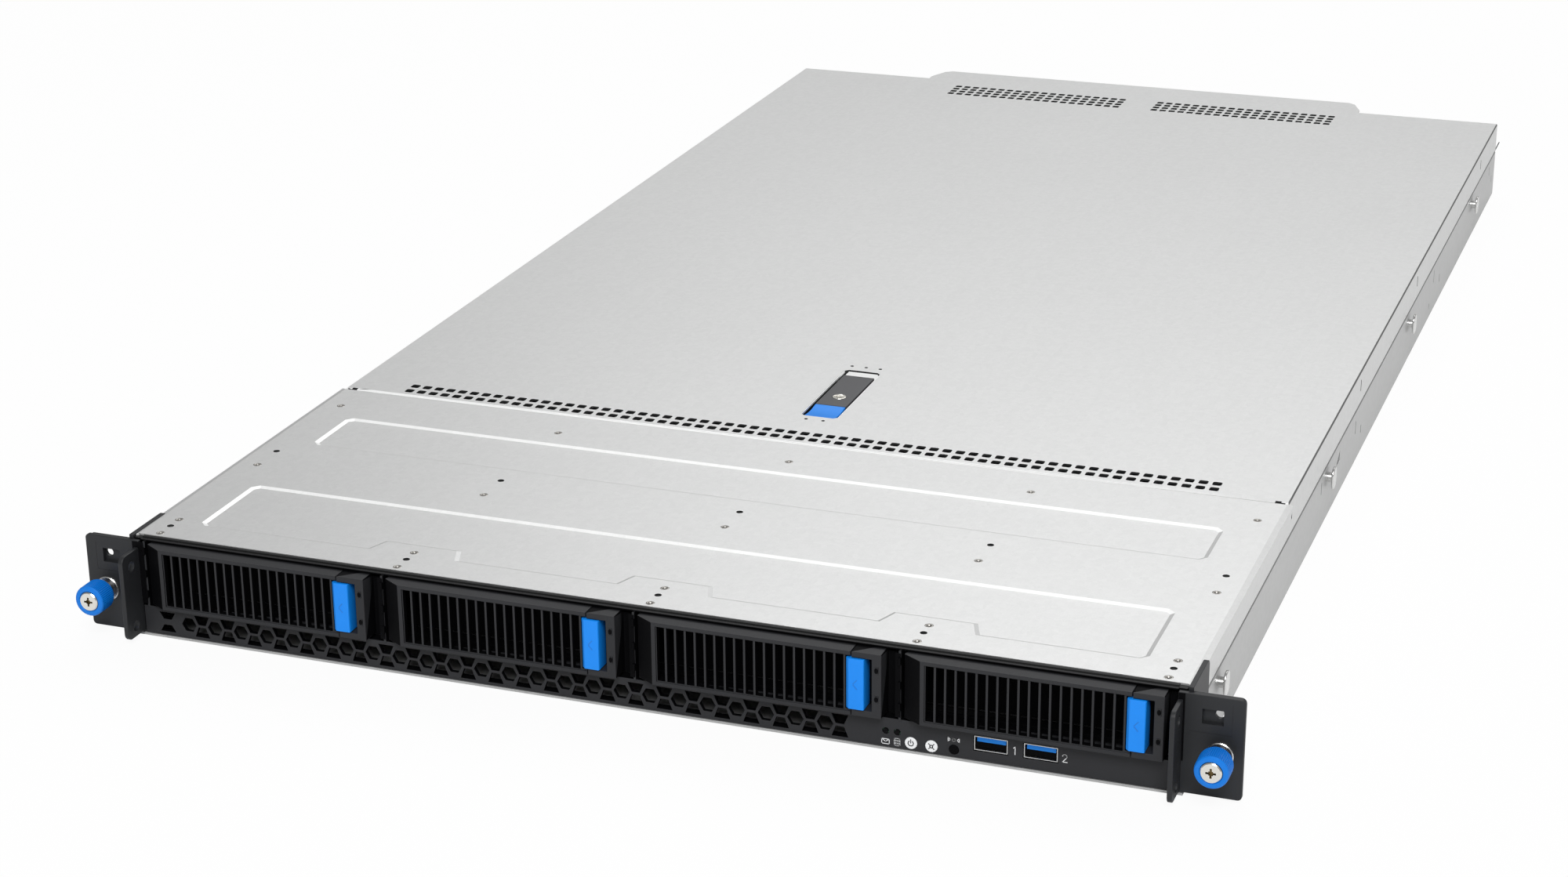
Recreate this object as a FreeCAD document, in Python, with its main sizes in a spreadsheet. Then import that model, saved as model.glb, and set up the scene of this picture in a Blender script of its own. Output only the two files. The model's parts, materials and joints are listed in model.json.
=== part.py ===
import FreeCAD, Part
import math
import os

import Sketcher
from FreeCAD import Rotation, Vector

# 1U rack server: an open-topped steel pan under a fixed front cover and a sliding rear
# cover, four 3.5-inch drive trays across the front, fans, main board and two power
# supplies behind. Millimetres. +X is the server's right seen from the front, +Y runs to
# the rear, +Z is up. The origin is on the centreline, in the pan's bottom face, on the
# plane of the rack ears' front faces.

# Driving dimensions, all in millimetres unless the name says otherwise.
SIZES = {
    # body
    "body_width": 439.0,
    "body_height": 42.8,
    "body_depth": 820.0,
    "metal": 1.0,               # sheet thickness of pan, covers and cage
    "fit_gap": 0.2,             # sheet sliding beside sheet
    "seam_height": 26.9,        # lower edge of the covers' skirts
    "pan_lip": 0.5,             # pan floor ahead of the ear plane
    "pan_flange": 12.0,         # inward flange on top of the pan's side walls
    "cover_front": 5.0,
    "cover_split": 186.6,
    "split_gap": 0.4,
    "tab_reach": 21.5,          # rear cover tab behind the body
    "tab_width": 272.0,
    # stiffening panels pressed into the front cover
    "panel_depth": 0.6,
    "panel_edge": 200.0,        # panel half width
    "panel_front": 20.5,
    "panel_step": 9.5,          # how far the front edge steps back round the screws
    "panel_length": 47.0,
    "panel2_front": 118.0,
    "panel2_length": 35.0,
    # drive bays
    "bay_pitch": 108.0,
    "bay_left": 213.6,          # first cage wall, left of the centreline
    "bay_floor": 13.5,
    "cage_length": 166.8,
    "wall_to_tray": 1.6,
    "tray_lift": 0.3,           # tray underside over the cage floor
    "tray_face_bottom": 14.6,
    "tray_face_top": 41.0,
    "tray_face_width": 100.6,
    "tray_reach": 5.0,          # tray faces ahead of the ear plane
    "tray_rail": 1.2,
    "tray_length": 160.0,
    "drive_width": 101.6,
    "drive_height": 26.1,
    "drive_length": 146.0,
    "drive_front": 12.0,
    # tray handle
    "lever_width": 88.4,
    "lever_bevel": 7.8,
    "lever_wall": 1.2,
    "lever_plate": 3.2,
    "lever_gap": 0.4,
    "hinge_in": 2.2,            # hinge axis from the tray's left edge
    "hinge_back": 1.9,          # hinge axis behind the ear plane
    "hinge_pin": 0.8,
    "hinge_barrel": 1.5,
    "slot_pitch": 4.03,
    "slot_width": 3.1,
    "slot_bottom": 16.5,
    "slot_top": 39.1,
    "slot_first": 9.8,
    "button_width": 7.4,
    "button_bottom": 17.5,
    "button_top": 38.4,
    "button_proud": 0.9,
    # lower bezel strip
    "bezel_plate": 2.0,
    "strip_top": 13.2,
    "hex_pitch": 12.0,
    "hex_flats": 5.8,
    "hex_height": 7.1,
    "hex_first": 195.5,
    "hex_upper_end": 11.6,
    "hex_lower_end": 2.2,
    "shelf": 0.8,
    # control panel
    "power_x": 114.9,
    "id_x": 123.0,
    "reset_x": 131.8,
    "key_height": 4.1,
    "key_radius": 2.4,
    "reset_radius": 1.9,
    "key_travel": 0.8,
    "key_gap": 0.08,
    "led_height": 7.7,
    "led_first_x": 104.8,
    "led_step": 4.6,
    "led_radius": 1.2,
    "usb_x": 146.1,
    "usb_step": 19.3,
    "usb_height": 8.2,
    "usb_width": 13.1,
    "usb_tall": 5.9,
    "usb_wall": 0.4,
    # ears
    "ear_reach": 21.8,          # ears beyond the body: 482.6 over both
    "ear_bottom": 1.05,
    "ear_top": 43.1,
    "trim": 2.0,
    "bracket": 1.5,
    "bracket_reach": 36.0,
    "tab_plate": 2.0,
    "tab_out": 13.0,
    "screw_reach": 13.05,       # screws beyond the body: 465.1 apart
    "screw_height": 18.4,
    "window_reach": 5.9,        # window's inner side beyond the body
    "window_width": 8.0,
    "window_bottom": 30.7,
    "window_tall": 6.2,
    # thumbscrews
    "flange_radius": 5.2,
    "barrel_radius": 3.9,
    "barrel_out": 6.5,
    "shank_radius": 2.5,
    "shank_gap": 0.05,
    "thread_radius": 2.3,
    "knob_radius": 6.5,
    "knob_front": 15.0,
    "knob_back": 5.0,
    "knob_floor": 3.0,
    "head_radius": 4.25,
    "ring_width": 1.0,
    # cover latch
    "latch_half": 9.0,
    "latch_front": 221.6,
    "latch_rear": 285.0,
    "dish_depth": 7.6,
    "lever_half": 7.4,
    "latch_lever_front": 238.6,
    "latch_lever_rear": 279.0,
    "latch_pivot_y": 275.0,
    "latch_pivot_drop": 3.2,
    "latch_pin": 1.2,
    "latch_throw": 12.0,
    "fork_depth": 10.8,
    "fork_pin": 1.5,
    "lock_y": 250.5,
    "lock_radius": 3.2,
    # fans
    "fan_size": 40.0,
    "fan_depth": 28.0,
    "fan_front": 308.0,
    "fan_pitch": 98.0,
    "fan_bore": 19.0,
    "rotor_hub": 8.5,
    "rotor_tip": 17.8,
    "rotor_shaft": 1.5,
    # inside and rear
    "backplane_front": 176.0,
    "board_thickness": 1.6,
    "board_lift": 5.0,
    "board_front": 350.0,
    "board_half": 128.0,
    "psu_width": 73.5,
    "psu_height": 39.0,
    "psu_length": 185.0,
    "psu_centre": 177.0,
    "psu_lift": 0.4,
    "rail_stud_height": 19.8,
    "rail_stud_first": 57.7,
    "rail_stud_pitch": 222.5,
}

# Counts.
BAYS = 4
FANS = 4
BLADES = 5
SLOTS = 19
HEX_COLUMNS = 24

doc = FreeCAD.newDocument("rack_server")
sheet = doc.addObject("Spreadsheet::Sheet", "Sizes")
made = {}


class Size:
    """A length that carries its number and the sheet expression that gives it."""

    def __init__(self, text, number):
        self.text = text
        self.number = number

    def __add__(self, other):
        other = lift(other)
        return Size(f"({self.text} + {other.text})", self.number + other.number)

    def __radd__(self, other):
        return lift(other) + self

    def __sub__(self, other):
        other = lift(other)
        return Size(f"({self.text} - {other.text})", self.number - other.number)

    def __rsub__(self, other):
        return lift(other) - self

    def __mul__(self, other):
        other = lift(other)
        return Size(f"({self.text} * {other.text})", self.number * other.number)

    def __rmul__(self, other):
        return lift(other) * self

    def __truediv__(self, other):
        other = lift(other)
        return Size(f"({self.text} / {other.text})", self.number / other.number)

    def __neg__(self):
        return Size(f"(0 - {self.text})", -self.number)


def lift(value):
    if isinstance(value, Size):
        return value
    return Size(f"({value})", float(value))


class Sheet:
    """The driving dimensions, one attribute each."""


size = Sheet()
for row, (alias, value) in enumerate(SIZES.items(), start=1):
    sheet.set(f"A{row}", alias)
    sheet.set(f"B{row}", str(value))
    sheet.setAlias(f"B{row}", alias)
    setattr(size, alias, Size(f"Sizes.{alias}", value))
doc.recompute()


# --- helpers: primitives with every size and place bound to the sheet ---

def bind(thing, prop, value):
    value = lift(value)
    thing.setExpression(prop, value.text)


def place(thing, x, y, z):
    bind(thing, "Placement.Base.x", x)
    bind(thing, "Placement.Base.y", y)
    bind(thing, "Placement.Base.z", z)


def box(x, y, z):
    """A box from three (low, high) pairs."""
    thing = doc.addObject("Part::Box", "Block")
    bind(thing, "Length", x[1] - x[0])
    bind(thing, "Width", y[1] - y[0])
    bind(thing, "Height", z[1] - z[0])
    place(thing, x[0], y[0], z[0])
    return thing


TURNS = {
    "X": Rotation(Vector(0, 1, 0), 90),
    "Y": Rotation(Vector(1, 0, 0), -90),
    "Z": Rotation(),
}


def cylinder(axis, start, radius, length):
    """A cylinder along +axis from its start point."""
    thing = doc.addObject("Part::Cylinder", "Round")
    thing.Placement = FreeCAD.Placement(Vector(), TURNS[axis])
    bind(thing, "Radius", radius)
    bind(thing, "Height", length)
    place(thing, *start)
    return thing


def prism(axis, start, sides, across, length):
    """A regular prism along +axis; across is its distance between flats."""
    thing = doc.addObject("Part::Prism", "Prism")
    thing.Placement = FreeCAD.Placement(Vector(), TURNS[axis])
    thing.Polygon = sides
    bind(thing, "Circumradius", lift(across) / (2 * math.cos(math.pi / sides)))
    bind(thing, "Height", length)
    place(thing, *start)
    return thing


def ring_points(x, y, sides, across):
    """Corners of a regular polygon for a sketch, given the distance between flats."""
    reach = lift(across) / (2 * math.cos(math.pi / sides))
    turns = [math.tau * (step + 0.5) / sides for step in range(sides)]
    return [(x + reach * math.cos(turn), y + reach * math.sin(turn)) for turn in turns]


def mirrored(side, low, high):
    """An X range on the server's right (side 1) or its mirror image (side -1)."""
    low, high = lift(low), lift(high)
    return (low, high) if side > 0 else (-high, -low)


def centred(middle, width):
    middle = lift(middle)
    return (middle - lift(width) / 2, middle + lift(width) / 2)


def fuse(*things):
    things = list(things)
    if len(things) == 1:
        return things[0]
    joined = doc.addObject("Part::MultiFuse", "Joined")
    joined.Shapes = things
    joined.Refine = True
    return joined


def cut(base, *tools):
    result = doc.addObject("Part::Cut", "Trimmed")
    result.Base = base
    result.Tool = fuse(*tools)
    result.Refine = True
    return result


def group(*things):
    """Separate solids of one kind kept together."""
    together = doc.addObject("Part::Compound", "Group")
    together.Links = list(things)
    return together


def keep(label, thing):
    """Names a finished sub-part."""
    thing.Label = label
    made[label] = thing
    return thing


# --- helpers: sketched bodies ---

def new_body():
    return doc.addObject("PartDesign::Body", "Body")


def sketch_on(body, role, offset=0):
    """A sketch on one of the body's origin planes, moved along the plane's normal."""
    sketch = body.newObject("Sketcher::SketchObject", "Sketch")
    plane = next(item for item in body.Origin.OriginFeatures if item.Role == role)
    sketch.AttachmentSupport = [(plane, "")]
    sketch.MapMode = "FlatFace"
    bind(sketch, "AttachmentOffset.Base.z", offset)
    return sketch


def fix_point(sketch, geometry, point, x, y):
    for kind, value in (("DistanceX", x), ("DistanceY", y)):
        value = lift(value)
        rule = Sketcher.Constraint(kind, geometry, point, value.number)
        index = sketch.addConstraint(rule)
        sketch.setExpression(f"Constraints[{index}]", value.text)


def outline(sketch, points):
    """A closed polygon with each corner placed by the sheet."""
    first = sketch.GeometryCount
    count = len(points)
    corners = [Vector(lift(x).number, lift(y).number, 0) for x, y in points]
    lines = [Part.LineSegment(corners[i], corners[(i + 1) % count]) for i in range(count)]
    sketch.addGeometry(lines, False)
    joints = []
    for i in range(count):
        joints.append(Sketcher.Constraint("Coincident", first + i, 2, first + (i + 1) % count, 1))
    sketch.addConstraint(joints)
    for i, (x, y) in enumerate(points):
        fix_point(sketch, first + i, 1, x, y)


def rectangle(sketch, x, y):
    outline(sketch, [(x[0], y[0]), (x[1], y[0]), (x[1], y[1]), (x[0], y[1])])


def circle(sketch, x, y, radius):
    radius = lift(radius)
    centre = Vector(lift(x).number, lift(y).number, 0)
    index = sketch.addGeometry(Part.Circle(centre, Vector(0, 0, 1), radius.number), False)
    fix_point(sketch, index, 3, x, y)
    rule = sketch.addConstraint(Sketcher.Constraint("Radius", index, radius.number))
    sketch.setExpression(f"Constraints[{rule}]", radius.text)


def pad(body, sketch, length, reverse=False):
    feature = body.newObject("PartDesign::Pad", "Pad")
    feature.Profile = sketch
    bind(feature, "Length", length)
    feature.Reversed = reverse
    return feature


def pocket(body, sketch, length, reverse=False):
    feature = body.newObject("PartDesign::Pocket", "Pocket")
    feature.Profile = sketch
    bind(feature, "Length", length)
    feature.Reversed = reverse
    return feature


def through(body, sketch):
    feature = body.newObject("PartDesign::Pocket", "Opening")
    feature.Profile = sketch
    feature.Type = "ThroughAll"
    feature.Midplane = True
    return feature


def repeat(body, feature, sketch, pitch, count):
    """Repeats a feature along the sketch's horizontal axis."""
    pattern = body.newObject("PartDesign::LinearPattern", "Row")
    pattern.Originals = [feature]
    pattern.Direction = (sketch, ["H_Axis"])
    pattern.Mode = "Spacing"
    bind(pattern, "Offset", pitch)
    pattern.Occurrences = count
    body.Tip = pattern
    return pattern


# --- shared places, worked out from the driving dimensions ---

half = size.body_width / 2
top = size.body_height
under_cover = top - size.metal
skirt_inner = half - size.metal
pan_upper_outer = skirt_inner - size.fit_gap
pan_upper_inner = pan_upper_outer - size.metal
pan_top = under_cover - 0.1
rear = size.body_depth
trim_edge = half - 3.2                      # ears start, bezel ends, either side
screw_x = half + size.screw_reach
window_in = half + size.window_reach
bracket_inner = half + 0.1
bracket_outer = bracket_inner + size.bracket
cage_front = size.cover_front + 0.2
cage_rear = cage_front + size.cage_length


def bay_wall_x(bay):
    return size.bay_pitch * bay - size.bay_left


def bay_face_x(bay):
    return bay_wall_x(bay) + size.wall_to_tray


# --- the pan and what it carries ---

def make_chassis_pan():
    body = new_body()
    joggle = size.seam_height - 1.4
    half_profile = [
        (half, 0),
        (half, joggle),
        (pan_upper_outer, joggle + 1.2),
        (pan_upper_outer, pan_top),
        (pan_upper_outer - size.pan_flange, pan_top),
        (pan_upper_outer - size.pan_flange, pan_top - size.metal),
        (pan_upper_inner, pan_top - size.metal),
        (pan_upper_inner, joggle + 0.8),
        (half - size.metal, joggle - 0.4),
        (half - size.metal, size.metal),
    ]
    points = half_profile + [(-x, y) for x, y in reversed(half_profile)]
    profile = sketch_on(body, "XZ_Plane", size.pan_lip)
    outline(profile, points)
    pad(body, profile, size.body_depth + size.pan_lip, reverse=True)

    # side walls stop behind the bezel, and the floor alone reaches the front
    front = sketch_on(body, "YZ_Plane")
    rectangle(front, (-2, size.cover_front + 1), (size.metal, top + 5))
    through(body, front)

    # hook slots and vents through both side walls
    slots = sketch_on(body, "YZ_Plane")
    for y, low, high in SIDE_SLOTS:
        rectangle(slots, (y, y + 1.4), (low, high))
    through(body, slots)
    gusset = sketch_on(body, "YZ_Plane")
    outline(gusset, [(301.5, 16.5), (310.5, 16.5), (310.5, 21.5)])
    body.Tip = through(body, gusset)

    # upright walls beside the two power supply bays
    walls = []
    for side in (-1, 1):
        inner = size.psu_centre - size.psu_width / 2 - 1.0
        walls.append(box(mirrored(side, inner - size.metal, inner),
                         (rear - size.psu_length - 10, rear - 1.5), (0.5, pan_top - 3)))
    keep("chassis_pan", fuse(body, *walls))


# Slots in each side wall: place along the depth, lower end, upper end.
SIDE_SLOTS = [
    (265.0, 16.5, 22.5),
    (350.3, 14.5, 21.0),
    (366.0, 9.5, 13.5),
    (584.6, 16.0, 22.8),
    (606.5, 9.8, 14.2),
    (572.8, 4.5, 8.0),
    (795.5, 17.5, 22.5),
    (808.0, 9.8, 14.2),
]


def cover_profile(body, front, length):
    points = [
        (half, size.seam_height),
        (half, top - 0.6),
        (half - 0.6, top),
        (0.6 - half, top),
        (-half, top - 0.6),
        (-half, size.seam_height),
        (-skirt_inner, size.seam_height),
        (-skirt_inner, under_cover),
        (skirt_inner, under_cover),
        (skirt_inner, size.seam_height),
    ]
    profile = sketch_on(body, "XZ_Plane", -front)
    outline(profile, points)
    pad(body, profile, length, reverse=True)


# Screw columns that the front panel steps back from.
CLEAR_COLUMNS = (-102.5, 6.3, 114.5)


def panel_outline(grow):
    """Front stiffening panel, stepped back round the three inner screw columns."""
    edge = size.panel_edge + grow
    front = size.panel_front - grow
    back = size.panel_front + size.panel_length + grow
    step = front + size.panel_step
    corner = 3.0
    points = [(-edge, front + corner), (corner - edge, front)]
    for column in CLEAR_COLUMNS:
        x = lift(column)
        points.append((x - 19 + grow, front))
        points.append((x - 15.5 + grow, step))
        points.append((x + 15.5 - grow, step))
        points.append((x + 19 - grow, front))
    points += [(edge - corner, front), (edge, front + corner)]
    points += [(edge, back - corner), (edge - corner, back)]
    points += [(corner - edge, back), (-edge, back - corner)]
    return points


def second_panel_outline(grow):
    edge = size.panel_edge + grow
    front = size.panel2_front - grow
    back = size.panel2_front + size.panel2_length + grow
    corner = 3.0
    return [
        (corner - edge, front), (edge - corner, front), (edge, front + corner),
        (edge, back - corner), (edge - corner, back), (corner - edge, back),
        (-edge, back - corner), (-edge, front + corner),
    ]


def make_front_cover():
    body = new_body()
    length = size.cover_split - size.split_gap - size.cover_front
    cover_profile(body, size.cover_front, length)
    for shape in (panel_outline, second_panel_outline):
        below = sketch_on(body, "XY_Plane", under_cover)
        outline(below, shape(0.6))
        pad(body, below, size.panel_depth, reverse=True)
        above = sketch_on(body, "XY_Plane", top)
        outline(above, shape(0.0))
        body.Tip = pocket(body, above, size.panel_depth)
    keep("front_cover", body)


def make_rear_cover():
    body = new_body()
    cover_profile(body, size.cover_split, rear - size.cover_split)
    tab = sketch_on(body, "XY_Plane", top)
    wide = size.tab_width / 2
    outline(tab, [
        (-wide, rear - 3), (wide, rear - 3), (wide, rear + 6),
        (wide - 5, rear + size.tab_reach - 3), (wide - 9, rear + size.tab_reach),
        (9 - wide, rear + size.tab_reach), (5 - wide, rear + size.tab_reach - 3), (-wide, rear + 6),
    ])
    pad(body, tab, size.metal, reverse=True)

    # dish pressed down round the latch
    dish = sketch_on(body, "XY_Plane", under_cover + 0.2)
    wall = size.metal
    rectangle(dish, (-size.latch_half - wall, size.latch_half + wall),
              (size.latch_front - wall, size.latch_rear + wall))
    pad(body, dish, size.dish_depth + 0.2, reverse=True)
    well = sketch_on(body, "XY_Plane", top)
    corner = 2.0
    x, front, back = size.latch_half, size.latch_front, size.latch_rear
    outline(well, [
        (corner - x, front), (x - corner, front), (x, front + corner), (x, back - corner),
        (x - corner, back), (corner - x, back), (-x, back - corner), (-x, front + corner),
    ])
    pocket(body, well, size.dish_depth)

    # window in the dish floor for the latch fork
    window = sketch_on(body, "XY_Plane", top)
    rectangle(window, (-5, 5), (size.latch_pivot_y - 7.2, size.latch_pivot_y + 7.2))
    body.Tip = pocket(body, window, size.dish_depth + 3)

    pin = cylinder("X", (-size.latch_half - 0.5, size.latch_pivot_y, latch_pivot_z),
                   size.latch_pin, size.latch_half * 2 + 1)
    keep("rear_cover", fuse(body, pin))


latch_pivot_z = top - size.latch_pivot_drop
fork_tilt = 30.0


def fork_block(thick, near, far, wide):
    """A block along the fork's own direction, hung from the latch pivot."""
    thing = doc.addObject("Part::Box", "Fork")
    thing.Placement = FreeCAD.Placement(Vector(), Rotation(Vector(1, 0, 0), fork_tilt))
    bind(thing, "Length", lift(wide) * 2)
    bind(thing, "Width", lift(thick) * 2)
    bind(thing, "Height", lift(far) - lift(near))
    cosine = math.cos(math.radians(fork_tilt))
    sine = math.sin(math.radians(fork_tilt))
    far, thick = lift(far), lift(thick)
    place(thing, -lift(wide),
          size.latch_pivot_y + far * sine - thick * cosine,
          latch_pivot_z - far * cosine - thick * sine)
    return thing


def make_latch():
    lever_top = top - 0.4
    front, back = size.latch_lever_front, size.latch_lever_rear
    wide = (-size.lever_half, size.lever_half)
    plate = box(wide, (front, back), (lever_top - 3.5, lever_top))
    rib = box(wide, (front, size.latch_pivot_y - 12), (lever_top - 5.2, lever_top - 3))
    tongue = box((-5, 5), (size.latch_front + 2.4, front + 4), (lever_top - 5.4, lever_top - 4.2))
    knuckle = prism("X", (-size.lever_half, size.latch_pivot_y, latch_pivot_z), 8, 4.8, size.lever_half * 2)
    finger = fork_block(3.0, 0.0, size.fork_depth + 3.2, 4.0)
    slot = fork_block(size.fork_pin + 0.5, size.fork_depth - 2.0, size.fork_depth + 6, 4.5)
    bore = cylinder("X", (-size.lever_half - 1, size.latch_pivot_y, latch_pivot_z),
                    size.latch_pin + size.shank_gap, size.lever_half * 2 + 2)
    lock_hole = cylinder("Z", (0, size.lock_y, lever_top - 8), size.lock_radius + size.shank_gap, 10)
    keep("latch_lever", cut(fuse(plate, rib, tongue, knuckle, finger), slot, bore, lock_hole))

    tip = box((0.2 - size.lever_half, size.lever_half - 0.2),
              (size.latch_front + 0.7, front - 0.3), (lever_top - 2.5, lever_top))
    dimple = cylinder("X", (-size.lever_half - 1, (size.latch_front + front) / 2, lever_top + 39.4),
                      40, size.lever_half * 2 + 2)
    keep("latch_release", cut(tip, dimple))

    screw = cylinder("Z", (0, size.lock_y, lever_top - 3.6), size.lock_radius, 3.7)
    slot = box((-2.4, 2.4), centred(size.lock_y, 0.8), (lever_top - 0.9, lever_top + 1))
    keep("latch_lock_screw", cut(screw, slot))


def make_cross_brace():
    """Channel across the body with the fixed pin that the latch fork works against."""
    pin_y = size.latch_pivot_y + size.latch_throw / 2
    pin_z = latch_pivot_z - size.fork_depth
    span = (-pan_upper_inner + 0.1, pan_upper_inner - 0.1)
    depth = centred(pin_y, 24)
    channel = cut(box(span, depth, (16.0, 24.0)),
                  box((-half, half), (depth[0] + 1, depth[1] - 1), (15.0, 23.0)))
    ears = [box(mirrored(side, 5.2, 7.2), centred(pin_y, 9), (23.5, pin_z + 3)) for side in (-1, 1)]
    pin = cylinder("X", (-7, pin_y, pin_z), size.fork_pin, 14)
    legs = [box(mirrored(side, pan_upper_inner - 12, pan_upper_inner - 11), depth, (size.metal, 23.5))
            for side in (-1, 1)]
    keep("cross_brace", fuse(channel, *ears, pin, *legs))


# --- drive cage, trays, handles and drives ---

def make_drive_cage():
    floor_low = size.bay_floor - 0.8
    left = bay_wall_x(0) - 0.5
    right = pan_upper_inner - 0.1
    deep = (cage_front, cage_rear)
    pieces = [
        box((left, right), deep, (floor_low, size.bay_floor)),
        box((left, left + 1), deep, (size.metal, size.bay_floor)),
        box((right - 1, right), deep, (size.metal, size.bay_floor)),
    ]
    wall_top = under_cover - size.panel_depth - 0.3
    for bay in range(BAYS):
        x = bay_wall_x(bay)
        if bay == 0:
            pieces.append(box((x - 0.5, x + 0.5), deep, (floor_low, pan_top - size.metal - 0.1)))
            continue
        pieces.append(box((x - 0.5, x + 0.5), deep, (floor_low, wall_top)))
        for tab in ((cage_front + 0.8, 27.0), (80.0, 112.0), (158.0, cage_rear)):
            pieces.append(box((x - 0.5, x + 7.5), tab, (under_cover - 0.8, under_cover)))
            pieces.append(box((x - 0.5, x + 0.5), tab, (wall_top - 1, under_cover)))
    keep("drive_cage", fuse(*pieces))


tray_bottom = size.bay_floor + size.tray_lift
tray_floor = tray_bottom + 0.6
rail_front = lift(4.0)


def make_tray(bay):
    left = bay_face_x(bay)
    rail = size.tray_rail
    inner = left + rail
    outer = left + rail * 2 + size.drive_width + 0.2
    low, high = size.tray_face_bottom, size.tray_face_top
    deep = (rail_front, rail_front + size.tray_length)
    rail_top = high - 1.6
    block = (left + size.lever_width + size.lever_gap, left + size.tray_face_width)
    strip = left + size.tray_face_width - 3.8
    hinge_x, hinge_y = left + size.hinge_in, size.hinge_back
    arm_low, arm_high = low + 1.6, high - 2.8

    pieces = [
        box((left, inner), deep, (tray_bottom, rail_top)),
        box((outer - rail, outer), deep, (tray_bottom, rail_top)),
        box((left, outer), deep, (tray_bottom, tray_floor)),
        box((left, outer), (rail_front, rail_front + 1.4), (tray_bottom, low + 2.2)),
        box((block[0], outer), (rail_front, rail_front + 1.4), (tray_bottom, rail_top)),
        box(block, (-size.tray_reach, rail_front + 1.4), (low, high)),
        cylinder("Z", (hinge_x, hinge_y, arm_low), size.hinge_pin, arm_high + 1.2 - arm_low),
    ]
    for z in (arm_low, arm_high):
        pieces.append(box((hinge_x - 1.1, hinge_x + 1.1), (hinge_y - 1.1, rail_front + 1.4), (z, z + 1.2)))
        pieces.append(box((left, hinge_x), (rail_front, rail_front + 1.4), (z, z + 1.2)))

    window = box((block[0] - 1, strip), (-size.tray_reach - 1, hinge_y), (low + 2.6, high - 2.3))
    lamps = [box((strip + 1.2, strip + 2.6), (-size.tray_reach - 1, 1 - size.tray_reach), (z, z + 2.8))
             for z in (low + 6.5, high - 8.0)]
    opening = box((left + 10, outer - 10), (rail_front + 20, rail_front + size.tray_length - 18),
                  (tray_bottom - 1, tray_floor + 1))
    keep(f"tray_{bay + 1}", cut(fuse(*pieces), window, opening, *lamps))


def make_handle(bay):
    """Slatted tray handle: a bevelled hollow bar that swings on the tray's pin."""
    left = bay_face_x(bay)
    low, high = size.tray_face_bottom, size.tray_face_top
    front = -size.tray_reach
    end = left + size.lever_width
    tip = (left + 0.3, lift(-0.4))
    rise = (left + size.lever_bevel, front)
    run_x = size.lever_bevel.number - 0.3
    run_y = size.tray_reach.number - 0.4
    slant = math.hypot(run_x, run_y)
    inward = (run_y / slant, run_x / slant)
    wall = size.lever_wall
    inner_tip = (tip[0] + wall * inward[0], tip[1] + wall * inward[1])
    plate_back = front + size.lever_plate
    inner_rise = (inner_tip[0] + (inner_tip[1] - plate_back) * (run_x / run_y), plate_back)

    body = new_body()
    plan = sketch_on(body, "XY_Plane", low)
    outline(plan, [tip, rise, (end, front), (end, 3.0), (left + 1.0, 3.0)])
    pad(body, plan, high - low)

    hollow = sketch_on(body, "XY_Plane", high - wall)
    outline(hollow, [inner_tip, inner_rise, (end - wall, plate_back), (end - wall, 3.5),
                     (left - 0.5, 3.5), (left - 0.5, inner_tip[1])])
    pocket(body, hollow, high - low - wall * 2)

    notch = sketch_on(body, "XZ_Plane")
    button_x = end - 1.8
    rectangle(notch, (button_x - 0.3, end + 1), (size.button_bottom - 0.6, size.button_top + 0.5))
    through(body, notch)

    recess = sketch_on(body, "XZ_Plane", size.tray_reach)
    rectangle(recess, (left + size.slot_first - 0.4, end + 1), (size.slot_bottom - 0.4, size.slot_top + 0.4))
    pocket(body, recess, 0.6)

    slot = sketch_on(body, "XZ_Plane", size.tray_reach)
    rectangle(slot, (left + size.slot_first, left + size.slot_first + size.slot_width),
              (size.slot_bottom, size.slot_top))
    opening = pocket(body, slot, size.lever_plate + 0.4)
    repeat(body, opening, slot, size.slot_pitch, SLOTS)

    hinge_x, hinge_y = left + size.hinge_in, size.hinge_back
    barrel_low, barrel_high = low + 3.0, high - 3.0
    barrel = prism("Z", (hinge_x, hinge_y, barrel_low), 8, size.hinge_barrel * 2, barrel_high - barrel_low)
    web = box((hinge_x - 0.5, hinge_x + 0.5), (-1.0, hinge_y - 1), (barrel_low, barrel_high))
    bore = cylinder("Z", (hinge_x, hinge_y, barrel_low - 1), size.hinge_pin + size.shank_gap,
                    barrel_high - barrel_low + 2)
    keep(f"handle_{bay + 1}", cut(fuse(body, barrel, web), bore))


def make_release(bay):
    """Blue release that slides right, with a bevelled left edge."""
    left = bay_face_x(bay) + size.lever_width - 1.8
    right = left + size.button_width
    front = -size.tray_reach - size.button_proud
    body = new_body()
    plan = sketch_on(body, "XY_Plane", size.button_bottom)
    back = size.hinge_back - 0.3
    outline(plan, [(left, front + 1.3), (left + 1.3, front), (right - 0.4, front),
                   (right, front + 0.4), (right, back), (left, back)])
    body.Tip = pad(body, plan, size.button_top - size.button_bottom)
    keep(f"release_{bay + 1}", body)


def make_drive(bay):
    """3.5-inch disk drive: a cast base, a raised lid and the board below."""
    left = bay_face_x(bay) + size.tray_rail + 0.1
    x = (left, left + size.drive_width)
    y = (size.drive_front, size.drive_front + size.drive_length)
    low = tray_floor + 0.1
    high = low + size.drive_height
    base = box(x, y, (low + 1.8, high - 1.4))
    lid = box((x[0] + 2, x[1] - 2), (y[0] + 2, y[1] - 12), (high - 2, high))
    skirt = box(x, (y[0] + 2, y[1] - 8), (low, low + 2.5))
    board = box((x[0] + 8, x[1] - 8), (y[1] - 60, y[1]), (low + 0.6, low + 2.2))
    keep(f"drive_{bay + 1}", fuse(base, lid, skirt, board))


# --- bezel and control panel ---

bezel_back = size.cover_front - 0.1


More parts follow.
